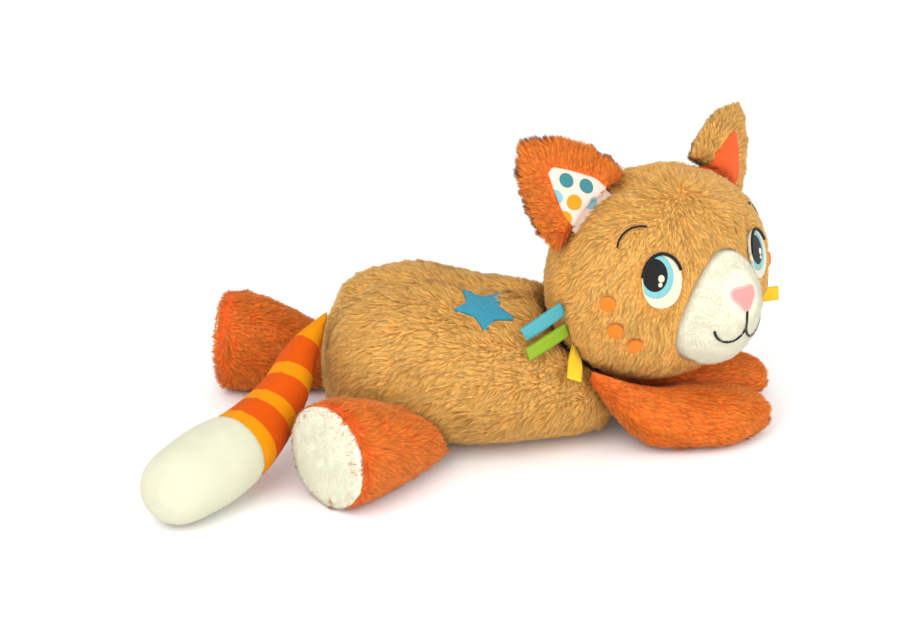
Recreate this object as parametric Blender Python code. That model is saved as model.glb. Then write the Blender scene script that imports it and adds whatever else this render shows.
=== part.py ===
"""Plush cat lying on its belly: sewn fabric panels over fibre fillings, with the head turned to its right.

Metres, +Z up. The head is at +X and the cat's left side at +Y. Each stuffed piece is a loft or an ellipsoid,
built once at full size, once inset by the fabric for the hollow, and once inset further for the filling.
"""

import math

import bmesh
import bpy
from mathutils import Matrix, Vector

MM = 0.001
GAP = 0.3 * MM
FABRIC = 2.4 * MM
FILLING = FABRIC + 0.9 * MM
PATCH = 1.0 * MM
SIDES = 24
ACROSS, UP = Vector((0, 1, 0)), Vector((0, 0, 1))

# the object's origin is the middle of its footprint, measured from the middle of the torso
ORIGIN = Vector((-0.5, -22.1, 0)) * MM

# torso: (x, half width, underside, top, how much its upper half narrows) from rump to chest, in millimetres
TORSO = [
    (-98, 54, 4, 88, 0),
    (-75, 66, -3, 101, 0),
    (-35, 73, -3, 108, 0),
    (5, 75, -3, 98, 0.03),
    (45, 66, -3, 96, 0.52),
    (98, 45, -1, 66, 0.5),
]
TORSO_ENDS = (26 * MM, 28 * MM)
TORSO_POWER = 2.4
BELLY_SEAM_HEIGHT = 14 * MM
STAR_CENTRE = (5, -34)
STAR_RADIUS = 22 * MM

# head, in its own frame: X to the nose, Y to the cat's left, Z up
HEAD_CENTRE = Vector((121.5, 0, 104)) * MM
HEAD_SEMI = Vector((62, 86, 72.5)) * MM
HEAD_YAW = math.radians(-53)
HEAD_ROLL = math.radians(-3)
HEAD_TURNS = (-53, -40, -26, -10)
HEAD_CLEARANCE = 2.6 * MM
TORSO_CLEARANCE = 2 * MM
SEAM_TILT = math.radians(-2)
MUZZLE_CENTRE = Vector((30, 0, -10)) * MM
MUZZLE_SEMI = Vector((48, 40, 44)) * MM
EYE = {"right": (-49, 17), "left": (36.5, 20)}
EYE_HALF = {"right": (13, 17), "left": (11.5, 16)}
FRECKLES = {"upper": (76, 2), "middle": (71, -16), "lower": (59, -27)}
FRECKLE_RADIUS = 4.8 * MM
BROW = {"right": (-53, 45), "left": (58, 41)}
LASH_WIDTH, BROW_WIDTH = 2.2 * MM, 1.8 * MM
RIBBON_WIDTH, RIBBON_THICKNESS = 9.5 * MM, 1.4 * MM
# angle below the head's middle, direction of the tag (front, outward, up), length
RIBBONS = {
    "right": {
        "blue": (-6, (-0.36, 0.76, -0.54), 28 * MM),
        "green": (-17, (-0.18, 0.9, -0.4), 29 * MM),
        "yellow": (-29, (0.66, 0.68, -0.46), 25 * MM),
    },
    "left": {
        "blue": (-6, (-0.82, 0.5, -0.2), 28 * MM),
        "green": (-16, (-0.8, 0.5, -0.3), 28 * MM),
        "yellow": (-25, (0.36, 0.93, 0.05), 34 * MM),
    },
}

# ears: base centre, direction, way the lining faces, height, in the head's frame and for the cat's left side
EAR_BASE = Vector((-10, 59, 51)) * MM
EAR_DIRECTION = {"right": (-0.4, 0.62, 0.7), "left": (-0.1, 0.45, 0.86)}
EAR_FACING = (1.0, 0.1, 0.0)
EAR_HEIGHT = {"right": 62 * MM, "left": 54 * MM}
EAR_HALF_WIDTH = 34 * MM
EAR_ROOT = 14 * MM
EAR_HALF_THICKNESS = 8 * MM

# tail: (x, y, z, radius) along its middle, in millimetres
TAIL = [
    (-92, 6, 82, 4),
    (-113, -22, 64, 13),
    (-126, -50, 47, 18),
    (-149, -84, 33, 24),
    (-171, -108, 28, 28),
    (-191, -131, 25.5, 26),
]
TAIL_PIVOT = Vector((-92, 6, 0)) * MM
TAIL_BORDER = 0.66

# hind legs: (distance along the leg, height of its middle, radius), in millimetres
LEG = [(-6, 17, 10), (14, 21, 16), (46, 27, 25.5), (76, 32.5, 32.5), (100, 34, 34.5)]
LEG_PIVOT = {"right": (-22.7, -55.4), "left": (-66, 60)}
LEG_YAW = {"right": math.radians(218), "left": math.radians(169)}
LEG_TURNS = {"right": (0, -20, -40), "left": (0, 17, 33, 50)}
LEG_LENGTH = 100 * MM

# front paws: (x, y from the middle, height of its middle, half width, half thickness), in millimetres
PAW = [
    (78, 50, 54, 9, 14),
    (92, 48, 39, 18, 21),
    (108, 43, 26, 27, 22),
    (134, 36, 18, 32, 18.5),
    (165, 34, 16.5, 31, 17),
    (185, 30, 15, 22, 15),
]
PAW_END = {"right": 1.0, "left": 1.1}
PAW_PIVOT = (76, 52)

COLOURS = {
    "tan_plush": ((0.66, 0.31, 0.07), 0.95),
    "orange_plush": ((0.83, 0.15, 0.02), 0.95),
    "white_plush": ((0.86, 0.86, 0.68), 0.9),
    "blue_felt": ((0.054, 0.35, 0.46), 0.9),
    "orange_felt": ((0.82, 0.12, 0.01), 0.9),
    "dotted_cotton": ((0.86, 0.56, 0.37), 0.85),
    "striped_fabric": ((0.88, 0.27, 0.01), 0.85),
    "white_fabric": ((0.87, 0.88, 0.69), 0.85),
    "pink_thread": ((0.83, 0.42, 0.38), 0.6),
    "black_thread": ((0.01, 0.01, 0.01), 0.6),
    "white_thread": ((0.85, 0.85, 0.75), 0.6),
    "blue_thread": ((0.24, 0.55, 0.55), 0.6),
    "orange_thread": ((0.78, 0.19, 0.01), 0.6),
    "blue_ribbon": ((0.1, 0.49, 0.53), 0.4),
    "green_ribbon": ((0.34, 0.53, 0.02), 0.4),
    "yellow_ribbon": ((0.97, 0.62, 0.01), 0.4),
    "filling": ((0.9, 0.9, 0.88), 1.0),
}


def clear_scene():
    for old in list(bpy.data.objects):
        bpy.data.objects.remove(old)


def material(slot):
    colour, roughness = COLOURS[slot]
    made = bpy.data.materials.get(slot) or bpy.data.materials.new(slot)
    made.use_nodes = True
    shader = made.node_tree.nodes["Principled BSDF"]
    shader.inputs["Base Color"].default_value = (*colour, 1)
    shader.inputs["Roughness"].default_value = roughness
    shader.inputs["Metallic"].default_value = 0
    return made


def empty(name, place, parent=None, turn=None):
    made = bpy.data.objects.new(name, None)
    bpy.context.collection.objects.link(made)
    made.parent = parent
    made.matrix_local = Matrix.Translation(place) @ (turn or Matrix.Identity(4))
    return made


def add(name, bm, slot, parent):
    """Links a bmesh as a smooth object; without a slot it is a guide that only cuts others."""
    bmesh.ops.recalc_face_normals(bm, faces=bm.faces)
    mesh = bpy.data.meshes.new(name)
    bm.to_mesh(mesh)
    bm.free()
    mesh.shade_smooth()
    mesh.set_sharp_from_angle(angle=math.radians(45))
    made = bpy.data.objects.new(name, mesh)
    bpy.context.collection.objects.link(made)
    made.parent = parent
    if slot:
        mesh.materials.append(material(slot))
    else:
        made.hide_render = True
        made.display_type = "WIRE"
    return made


def boolean(target, operation, *cutters):
    for cutter in cutters:
        change = target.modifiers.new(operation.lower(), "BOOLEAN")
        change.operation = operation
        change.solver = "EXACT"
        change.object = cutter


def smooth_between(rows, t):
    """The row at t, counted in rows, on a smooth curve through all of them."""
    i = min(int(t), len(rows) - 2)
    k = t - i
    a, b, c, d = (rows[max(0, min(len(rows) - 1, i + j))] for j in (-1, 0, 1, 2))
    return [
        0.5 * (2 * q + (r - p) * k + (2 * p - 5 * q + 4 * r - s) * k**2 + (3 * q - p - 3 * r + s) * k**3)
        for p, q, r, s in zip(a, b, c, d)
    ]


def ring(centre, across, up, half_across, half_up, power=2.0, floor=None):
    """Points of a superellipse around centre; none of them goes below floor."""
    points = []
    for i in range(SIDES):
        angle = 2 * math.pi * (i + 0.5) / SIDES
        c, s = math.cos(angle), math.sin(angle)
        c = math.copysign(abs(c) ** (2 / power), c)
        s = math.copysign(abs(s) ** (2 / power), s)
        point = centre + across * (half_across * c) + up * (half_up * s)
        if floor is not None:
            point.z = max(point.z, floor)
        points.append(point)
    return points


def loft(name, rings, slot, parent):
    """Closed solid through the rings, bridged one to the next and capped at both ends."""
    bm = bmesh.new()
    previous = None
    for points in rings:
        verts = [bm.verts.new(p) for p in points]
        edges = [bm.edges.new((verts[i - 1], verts[i])) for i in range(len(verts))]
        if previous:
            bmesh.ops.bridge_loops(bm, edges=previous + edges)
        else:
            bm.faces.new(verts)
        previous = edges
    bm.faces.new(verts)
    return add(name, bm, slot, parent)


def ellipsoid(name, centre, semi, slot, parent, segments=32, rings=18):
    bm = bmesh.new()
    shape = Matrix.Translation(centre) @ Matrix.Diagonal((*semi, 1))
    bmesh.ops.create_uvsphere(bm, u_segments=segments, v_segments=rings, radius=1, matrix=shape)
    return add(name, bm, slot, parent)


def block(name, low, high, parent):
    """Box from low to high that only cuts."""
    bm = bmesh.new()
    size = [b - a for a, b in zip(low, high)]
    middle = [(a + b) / 2 for a, b in zip(low, high)]
    bmesh.ops.create_cube(bm, size=1, matrix=Matrix.Translation(middle) @ Matrix.Diagonal((*size, 1)))
    return add(name, bm, None, parent)


def prism(name, outline, frame, depth, slot, parent):
    """Outline in the frame's XY plane, pushed along its Z from -depth to +depth."""
    bm = bmesh.new()
    face = bm.faces.new([bm.verts.new(frame @ Vector((x, y, -depth))) for x, y in outline])
    pushed = bmesh.ops.extrude_face_region(bm, geom=[face])["geom"]
    way = frame.to_3x3() @ Vector((0, 0, 2 * depth))
    bmesh.ops.translate(bm, vec=way, verts=[v for v in pushed if isinstance(v, bmesh.types.BMVert)])
    return add(name, bm, slot, parent)


def facing(place, normal, up=(0, 0, 1)):
    """Frame at place with Z along normal, Y as near up as it can be, and X across."""
    z = Vector(normal).normalized()
    x = Vector(up).cross(z).normalized()
    rotation = Matrix((x, z.cross(x), z)).transposed()
    return Matrix.Translation(place) @ rotation.to_4x4()


def oval(half_width, half_height, count=28, power=2.0):
    turns = [2 * math.pi * i / count for i in range(count)]
    return [
        (
            half_width * math.copysign(abs(math.cos(a)) ** (2 / power), math.cos(a)),
            half_height * math.copysign(abs(math.sin(a)) ** (2 / power), math.sin(a)),
        )
        for a in turns
    ]


def stroke(points, width):
    """Closed outline of a line of the given width through the points."""
    path = [Vector(p) for p in points]
    left, right = [], []
    for i, p in enumerate(path):
        along = (path[min(i + 1, len(path) - 1)] - path[max(i - 1, 0)]).normalized()
        side = Vector((-along.y, along.x)) * width / 2
        left.append(p + side)
        right.append(p - side)
    return left + right[::-1]


def arc(centre, radius, start, end, steps=8):
    turns = [math.radians(start + (end - start) * i / steps) for i in range(steps + 1)]
    return [(centre[0] + radius * math.cos(a), centre[1] + radius * math.sin(a)) for a in turns]


# torso


def torso_rings(inset):
    """Rings of the torso from rump to chest, with both ends rounded."""
    first, last = TORSO[0][0] * MM, TORSO[-1][0] * MM
    start, end = first + inset, last - inset
    places = [first + (last - first) * i / 13 for i in range(2, 12)]
    for far, away, reach in ((start, 1, TORSO_ENDS[0]), (end, -1, TORSO_ENDS[1])):
        places += [far + away * reach * (1 - math.cos(math.radians(a))) for a in (14, 30, 50, 72)]
    rings = []
    for x in sorted(p for p in places if start < p < end):
        t = 0
        while t < len(TORSO) - 2 and TORSO[t + 1][0] * MM <= x:
            t += 1
        share = (x / MM - TORSO[t][0]) / (TORSO[t + 1][0] - TORSO[t][0])
        _, half_width, low, top, narrowing = smooth_between(TORSO, t + share)
        half_width, low, top = half_width * MM, low * MM, top * MM
        round_off = 1
        for far, away, reach in ((start, 1, TORSO_ENDS[0]), (end, -1, TORSO_ENDS[1])):
            depth = min(1, (x - far) * away / reach)
            round_off *= (1 - (1 - depth) ** 2.2) ** (1 / 2.2)
        middle = (low + top) / 2
        half_up = ((top - low) / 2 - inset) * round_off
        half_across = (half_width - inset) * round_off
        centre = Vector((x, 0, middle))
        points = ring(centre, Vector((0, 1, 0)), Vector((0, 0, 1)), half_across, half_up, TORSO_POWER, inset)
        for point in points:
            point.y *= 1 - narrowing * max(0, (point.z - middle) / half_up)
        rings.append(points)
    return rings


def head_sweep(name, extra, base):
    """Guide: everything the head's ellipsoid reaches as it turns, grown by extra."""
    whole = None
    for turn in HEAD_TURNS:
        spin = empty(f"{name}_{-turn}", HEAD_CENTRE, base, Matrix.Rotation(math.radians(turn), 4, "Z"))
        grown = HEAD_SEMI + Vector((extra, extra, extra))
        one = ellipsoid(f"{name}_form_{-turn}", (0, 0, 0), grown, None, spin)
        if whole:
            boolean(whole, "UNION", one)
        else:
            whole = one
    return whole


def make_torso(base):
    wide = 0.3
    hollow = loft("torso_hollow", torso_rings(FABRIC), None, base)
    reach = head_sweep("head_reach", HEAD_CLEARANCE, base)
    behind_gusset = head_sweep("gusset_reach", HEAD_CLEARANCE + FABRIC, base)
    panels = {
        "torso_right_panel": ((-wide, -wide, BELLY_SEAM_HEIGHT + GAP / 2), (wide, -GAP / 2, wide)),
        "torso_left_panel": ((-wide, GAP / 2, BELLY_SEAM_HEIGHT + GAP / 2), (wide, wide, wide)),
        "belly_panel": ((-wide, -wide, -wide), (wide, wide, BELLY_SEAM_HEIGHT - GAP / 2)),
    }
    for name, (low, high) in panels.items():
        panel = loft(name, torso_rings(0), "tan_plush", base)
        boolean(panel, "DIFFERENCE", hollow)
        boolean(panel, "INTERSECT", block(f"{name}_side", low, high, base))
        boolean(panel, "DIFFERENCE", reach)
    gusset = loft("neck_gusset", torso_rings(FILLING), "tan_plush", base)
    boolean(gusset, "INTERSECT", behind_gusset)
    boolean(gusset, "DIFFERENCE", reach)
    filling = loft("torso_filling", torso_rings(FILLING), "filling", base)
    boolean(filling, "DIFFERENCE", head_sweep("filling_reach", HEAD_CLEARANCE + FILLING, base))
    make_star(base)


def make_star(base):
    """Five-pointed star lying on the right side of the back, one point down."""
    points = []
    for i in range(10):
        angle = math.radians(-90 + 36 * i)
        radius = STAR_RADIUS * (1 if i % 2 == 0 else 0.52)
        points.append((radius * math.cos(angle), radius * math.sin(angle)))
    place = Vector((STAR_CENTRE[0], STAR_CENTRE[1], 92)) * MM
    frame = facing(place, (0.1, -0.55, 0.83), (0, 1, 0))
    star = prism("star_patch", points, frame, 14 * MM, "blue_felt", base)
    boolean(star, "INTERSECT", loft("star_top", torso_rings(-2 * GAP - PATCH), None, base))
    boolean(star, "DIFFERENCE", loft("star_under", torso_rings(-2 * GAP), None, base))


# head


def head_form(name, extra, slot, pivot):
    return ellipsoid(name, (0, 0, 0), HEAD_SEMI + Vector((extra, extra, extra)), slot, pivot)


def on_head(left, up):
    """Point of the head's surface to the cat's left and above the middle, and its outward normal."""
    y, z = left * MM, up * MM
    depth = HEAD_SEMI.x * math.sqrt(1 - (y / HEAD_SEMI.y) ** 2 - (z / HEAD_SEMI.z) ** 2)
    place = Vector((depth, y, z))
    return place, Vector([p / s**2 for p, s in zip(place, HEAD_SEMI)]).normalized()


def face_patch(name, outline, frame, under, over, slot, pivot):
    """Thin stitched piece that follows the head, between two heights above its surface."""
    piece = prism(name, outline, frame, 12 * MM, slot, pivot)
    boolean(piece, "INTERSECT", head_form(f"{name}_over", over, None, pivot))
    boolean(piece, "DIFFERENCE", head_form(f"{name}_under", under, None, pivot))
    return piece


def muzzle_form(name, extra, pivot):
    """Guide: the muzzle's bulge joined to a head that is thicker by the patch."""
    grown = MUZZLE_SEMI + Vector((extra, extra, extra))
    bulge = ellipsoid(name, MUZZLE_CENTRE, grown, None, pivot)
    boolean(bulge, "UNION", head_form(f"{name}_head", FABRIC + extra, None, pivot))
    return bulge


def make_head_shell(pivot):
    wide = 0.2
    seam = empty("seam_frame", (0, 0, 0), pivot, Matrix.Rotation(SEAM_TILT, 4, "Z"))
    hollow = head_form("head_hollow", -FABRIC, None, pivot)
    halves = {
        "face_panel": ((GAP / 2, -wide, -wide), (wide, wide, wide)),
        "head_back_panel": ((-wide, -wide, -wide), (-GAP / 2, wide, wide)),
    }
    for name, (low, high) in halves.items():
        panel = head_form(name, 0, "tan_plush", pivot)
        boolean(panel, "DIFFERENCE", hollow)
        boolean(panel, "INTERSECT", block(f"{name}_side", low, high, seam))
    head_form("head_filling", -FILLING, "filling", pivot)


def make_muzzle(pivot):
    ahead = facing((60 * MM, 0, 0), (1, 0, 0))
    egg = []
    for i in range(36):
        a = 2 * math.pi * i / 36
        height = -8 + 38 * math.sin(a)
        egg.append((34 * math.cos(a) * (1 - 0.22 * math.sin(a)) * MM, height * MM))
    patch = prism("muzzle_patch", egg, ahead, 40 * MM, "white_plush", pivot)
    boolean(patch, "INTERSECT", muzzle_form("muzzle_over", 0, pivot))
    boolean(patch, "DIFFERENCE", head_form("muzzle_under", GAP, None, pivot))
    above = muzzle_form("stitch_under", GAP, pivot)
    over = muzzle_form("stitch_over", GAP + PATCH, pivot)
    nose_outline = [(x * MM, (y + 5) * MM) for x, y in arc((7, 4), 5, 95, -60) + arc((0, -6), 4, -40, -140)]
    nose_outline += [(x * MM, (y + 5) * MM) for x, y in arc((-7, 4), 5, 240, 85)]
    nose = prism("nose_patch", nose_outline, ahead, 40 * MM, "pink_thread", pivot)
    cheeks = [(x * MM, y * MM) for x, y in arc((-10.5, -16), 10.5, -180, -4)[:-1] + [(0, -17.5)]]
    cheeks += [(-x, y) for x, y in reversed(cheeks[:-1])]
    mouth = prism("mouth_stitching", stroke(cheeks, 1.8 * MM), ahead, 40 * MM, "black_thread", pivot)
    lip_line = stroke([(0, -17.5 * MM), (0, -6 * MM)], 1.8 * MM)
    boolean(mouth, "UNION", prism("lip_line", lip_line, ahead, 39 * MM, None, pivot))
    for piece in (nose, mouth):
        boolean(piece, "INTERSECT", over)
        boolean(piece, "DIFFERENCE", above)


def make_eye(side, pivot):
    """White field, iris, pupil and lash line, stitched one over the other."""
    place, normal = on_head(*EYE[side])
    frame = facing(place, normal)
    wide, high = (half * MM for half in EYE_HALF[side])
    layers = {
        "eye_white": (oval(wide, high, power=2.2), (0, 0), "white_thread"),
        "iris": (oval(0.76 * wide, 0.76 * high), (-2.4, 2.4), "blue_thread"),
        "pupil": (oval(0.58 * wide, 0.58 * high), (-3.2, 3.2), "black_thread"),
    }
    for level, (layer, (outline, (across, up), slot)) in enumerate(layers.items()):
        shifted = [(x + across * MM, y + up * MM) for x, y in outline]
        low = GAP + level * (PATCH / 2 + GAP)
        face_patch(f"{side}_{layer}", shifted, frame, low, low + PATCH / 2, slot, pivot)
    lash_arc = [(x * (wide + 2 * MM), y * (high + 2 * MM)) for x, y in arc((0, 0), 1, 22, 160, 16)]
    lash = stroke(lash_arc, LASH_WIDTH)
    face_patch(f"{side}_lash_line", lash, frame, GAP, GAP + PATCH, "black_thread", pivot)


def make_brow(side, sign, pivot):
    place, normal = on_head(*BROW[side])
    bend = [(sign * x * MM, y * MM) for x, y in arc((-2, -11.4), 15.3, 3, 102, 10)]
    brow = stroke(bend, BROW_WIDTH)
    face_patch(f"{side}_brow", brow, facing(place, normal), GAP, GAP + PATCH, "black_thread", pivot)


def make_freckles(side, sign, pivot):
    for name, (out, up) in FRECKLES.items():
        place, normal = on_head(sign * out, up)
        dot = oval(FRECKLE_RADIUS, FRECKLE_RADIUS, 20)
        frame = facing(place, normal)
        face_patch(f"{side}_{name}_freckle", dot, frame, GAP, GAP + PATCH, "orange_thread", pivot)


def make_ribbons(side, sign, pivot):
    """Folded ribbon tags that stand out of the head seam, the lower ones hanging more."""
    tilt = Matrix.Rotation(SEAM_TILT, 3, "Z")
    for colour, (angle, direction, length) in RIBBONS[side].items():
        a = math.radians(angle)
        out = tilt @ Vector((0, sign * math.cos(a), math.sin(a)))
        reach = 1 / math.sqrt(sum((o / s) ** 2 for o, s in zip(out, HEAD_SEMI)))
        way = (Vector(direction) * Vector((1, sign, 1))).normalized()
        along_seam = tilt @ Vector((0, -sign * math.sin(a), math.cos(a)))
        flat = (along_seam - way * along_seam.dot(way)).normalized()
        rings = []
        for s in range(5):
            along = reach + HEAD_CLEARANCE - 1 * MM
            centre = out * along + way * (length * s / 4)
            rings.append(ring(centre, flat, way.cross(flat), RIBBON_WIDTH / 2, RIBBON_THICKNESS / 2, 4))
        tag = loft(f"{side}_{colour}_ribbon", rings, f"{colour}_ribbon", pivot)
        boolean(tag, "DIFFERENCE", head_form(f"{side}_{colour}_root", GAP, None, pivot))


def ear_rings(side, extra):
    """Rings from inside the head to the tip, in the ear's frame: X across, Y to the front, Z along."""
    height = EAR_HEIGHT[side]
    rings = []
    for k in (0, 0.15, 0.3, 0.45, 0.6, 0.72, 0.82, 0.9, 0.96, 0.99):
        z = (height + EAR_ROOT) * k - EAR_ROOT
        share = max(0, z / height)
        narrow = (1 - share**2.1) ** 0.8
        half = max(EAR_HALF_WIDTH * narrow, 2.5 * MM) + extra
        thick = EAR_HALF_THICKNESS * (1 - 0.45 * share) * (1 - share**6) ** 0.5 + extra
        rings.append(ring(Vector((0, 0, z)), Vector((1, 0, 0)), Vector((0, 1, 0)), half, thick, 2.2))
    return rings


def make_ear(side, sign, slot, lining_slot, pivot):
    mirror = Vector((1, sign, 1))
    along = (Vector(EAR_DIRECTION[side]) * mirror).normalized()
    front = Vector(EAR_FACING) * mirror
    across = front.cross(along).normalized()
    turn = Matrix((across, along.cross(across), along)).transposed().to_4x4()
    frame = empty(f"{side}_ear_pivot", EAR_BASE * mirror, pivot, turn)
    root = head_form(f"{side}_ear_root", HEAD_CLEARANCE, None, pivot)
    shell = loft(f"{side}_ear_shell", ear_rings(side, 0), slot, frame)
    height = EAR_HEIGHT[side]
    triangle = [(-20 * MM, -10 * MM), (20 * MM, -10 * MM), (18 * MM, 14 * MM), (3 * MM, 0.66 * height)]
    triangle.append((-3 * MM, 0.66 * height))
    triangle.append((-18 * MM, 14 * MM))
    outward = facing((0, 12 * MM, 0), (0, 1, 0))
    lining = prism(f"{side}_ear_lining", triangle, outward, 12 * MM, lining_slot, frame)
    boolean(lining, "INTERSECT", loft(f"{side}_lining_over", ear_rings(side, GAP + PATCH), None, frame))
    boolean(lining, "DIFFERENCE", loft(f"{side}_lining_under", ear_rings(side, GAP), None, frame))
    for piece in (shell, lining):
        boolean(piece, "DIFFERENCE", root)


def make_head(base):
    turn = Matrix.Rotation(HEAD_YAW, 4, "Z") @ Matrix.Rotation(HEAD_ROLL, 4, "X")
    pivot = empty("head_pivot", HEAD_CENTRE, base, turn)
    make_head_shell(pivot)
    make_muzzle(pivot)
    for side, sign in (("right", -1), ("left", 1)):
        make_eye(side, pivot)
        make_brow(side, sign, pivot)
        make_freckles(side, sign, pivot)
        make_ribbons(side, sign, pivot)
    make_ear("right", -1, "orange_plush", "dotted_cotton", pivot)
    make_ear("left", 1, "tan_plush", "orange_felt", pivot)


# tail, legs and paws


def tail_rings(inset, start=0.0, end=1.0):
    """Rings square to the tail's middle line, rounded off at the tip."""
    steps = 13
    rings = []
    for k in range(steps + 1):
        share = start + (end - start) * k / steps
        t = share * (len(TAIL) - 1)
        x, y, z, radius = (v * MM for v in smooth_between(TAIL, t))
        ahead = Vector(smooth_between(TAIL, min(t + 0.02, len(TAIL) - 1))[:3])
        along = (ahead - Vector(smooth_between(TAIL, max(t - 0.02, 0))[:3])).normalized()
        across = along.cross(Vector((0, 0, 1))).normalized()
        centre = Vector((x, y, z)) - TAIL_PIVOT
        rings.append(ring(centre, across, across.cross(along), radius - inset, radius - inset, 2.0, inset))
    if end == 1.0:
        tip = centre
        for a in (25, 48, 70):
            lean, size = math.sin(math.radians(a)), math.cos(math.radians(a))
            out = radius - inset
            middle = tip + along * out * lean
            rings.append(ring(middle, across, across.cross(along), out * size, out * size, 2.0, inset))
    return rings


def tail_cut(name, before, pivot):
    """Guide that holds the tail before or after the border of the white tip."""
    t = TAIL_BORDER * (len(TAIL) - 1)
    here = Vector(smooth_between(TAIL, t)[:3])
    along = (Vector(smooth_between(TAIL, t + 0.02)[:3]) - here).normalized()
    frame = facing(here * MM - TAIL_PIVOT + along * (-GAP / 2 if before else GAP / 2), along)
    size = 0.2
    low = (-size, -size, -size if before else 0)
    high = (size, size, 0 if before else size)
    side = block(name, low, high, pivot)
    side.matrix_local = frame
    return side


def beside_torso(name, extra, base, place=(0, 0), turns=(0,)):
    """Guide: the torso grown by its clearance and extra, as met by a limb that turns about place."""
    x, y = place
    whole = None
    for turn in turns:
        lean = Matrix.Rotation(math.radians(turn), 4, "Z")
        spin = empty(f"{name}_{abs(turn)}", (x * MM, y * MM, 0), base, lean)
        back = empty(f"{name}_back_{abs(turn)}", (-x * MM, -y * MM, 0), spin)
        one = loft(f"{name}_torso_{abs(turn)}", torso_rings(-TORSO_CLEARANCE - extra), None, back)
        if whole:
            boolean(whole, "UNION", one)
        else:
            whole = one
    return whole


def make_tail(base):
    pivot = empty("tail_pivot", TAIL_PIVOT, base)
    hollow = loft("tail_hollow", tail_rings(FABRIC, 0.03), None, pivot)
    boolean(hollow, "DIFFERENCE", beside_torso("tail_hollow_side", FABRIC, base))
    for name, slot, before in (("tail_sleeve", "striped_fabric", True), ("tail_tip", "white_fabric", False)):
        skin = loft(name, tail_rings(0), slot, pivot)
        boolean(skin, "DIFFERENCE", hollow)
        boolean(skin, "INTERSECT", tail_cut(f"{name}_side", before, pivot))
        if before:
            boolean(skin, "DIFFERENCE", beside_torso("tail_skin_side", 0, base))
    filling = loft("tail_filling", tail_rings(FILLING, 0.05), "filling", pivot)
    boolean(filling, "DIFFERENCE", beside_torso("tail_filling_side", FILLING, base))


def leg_rings(inset, last):
    """Rings along the leg, from its blunt seam end to the distance last."""
    rings = []
    first = LEG[0][0] * MM
    start = first + inset
    places = [start + 9 * MM * (1 - math.cos(math.radians(a))) for a in (18, 38, 60)]
    places += [first + (last - first) * k / 8 for k in range(2, 9)]
    for x in places:
        t = 0
        while t < len(LEG) - 2 and LEG[t + 1][0] * MM <= x:
            t += 1
        share = (x / MM - LEG[t][0]) / (LEG[t + 1][0] - LEG[t][0])
        _, height, radius = (v * MM for v in smooth_between(LEG, t + share))
        depth = min(1, (x - start) / (9 * MM))
        size = (radius - inset) * math.sqrt(1 - (1 - depth) ** 2)
        rings.append(ring(Vector((x, 0, height)), ACROSS, UP, size, size, 2.1, inset))
    return rings


def make_leg(side, base):
    x, y = LEG_PIVOT[side]
    pivot = empty(f"{side}_leg_pivot", (x * MM, y * MM, 0), base, Matrix.Rotation(LEG_YAW[side], 4, "Z"))
    skin = loft(f"{side}_hind_leg_skin", leg_rings(0, LEG_LENGTH), "orange_plush", pivot)
    hollow = loft(f"{side}_leg_hollow", leg_rings(FABRIC, LEG_LENGTH + 10 * MM), None, pivot)
    filling = loft(f"{side}_hind_leg_filling", leg_rings(FILLING, LEG_LENGTH), "filling", pivot)
    for piece, extra in ((hollow, FABRIC), (skin, 0), (filling, FILLING)):
        guide = beside_torso(f"{piece.name}_side", extra, base, LEG_PIVOT[side], LEG_TURNS[side])
        boolean(piece, "DIFFERENCE", guide)
    boolean(skin, "DIFFERENCE", hollow)
    _, height, radius = LEG[-1]
    rings = []
    for ahead, size in ((GAP, 1), (1.6 * MM, 0.985), (3.2 * MM, 0.92), (4.2 * MM, 0.75), (4.8 * MM, 0.4)):
        centre = Vector((LEG_LENGTH + ahead, 0, height * MM))
        half = radius * MM * size
        rings.append(ring(centre, ACROSS, UP, half, half, 2.1, 0.0))
    loft(f"{side}_hind_sole", rings, "white_plush", pivot)


def paw_rings(side, sign, inset):
    """Rings of a flat front paw from the shoulder to its round end."""
    rows = [(PAW[0][0] + (x - PAW[0][0]) * PAW_END[side], y * sign, z, w, h) for x, y, z, w, h in PAW]
    first, last = rows[0][0] * MM - 10 * MM, rows[-1][0] * MM + 11 * MM
    start, end = first + inset, last - inset
    rings = []
    places = [start + 14 * MM * (1 - math.cos(math.radians(a))) for a in (15, 35, 60)]
    places += [first + (last - first) * k / 9 for k in range(2, 8)]
    places += [end - 26 * MM * (1 - math.cos(math.radians(a))) for a in (50, 32, 14)]
    for x in sorted(places):
        held = min(max(x / MM, rows[0][0]), rows[-1][0])
        t = 0
        while t < len(rows) - 2 and rows[t + 1][0] <= held:
            t += 1
        share = (held - rows[t][0]) / (rows[t + 1][0] - rows[t][0])
        _, y, z, half, thick = (v * MM for v in smooth_between(rows, t + share))
        size = math.sqrt(1 - (1 - min(1, (x - start) / (14 * MM))) ** 2)
        size *= math.sqrt(1 - (1 - min(1, (end - x) / (26 * MM))) ** 2)
        centre = Vector((x - PAW_PIVOT[0] * MM, y - sign * PAW_PIVOT[1] * MM, z))
        across = (half - inset) * size
        rings.append(ring(centre, ACROSS, UP, across, (thick - inset) * size, 2.3, inset))
    return rings


def beside_body(name, extra, base):
    """Guide: the torso and everything the head reaches, grown by extra, for the paws to stay clear of."""
    whole = head_sweep(f"{name}_head", HEAD_CLEARANCE + extra, base)
    boolean(whole, "UNION", loft(f"{name}_torso", torso_rings(-1.2 * MM - extra), None, base))
    return whole


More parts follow.
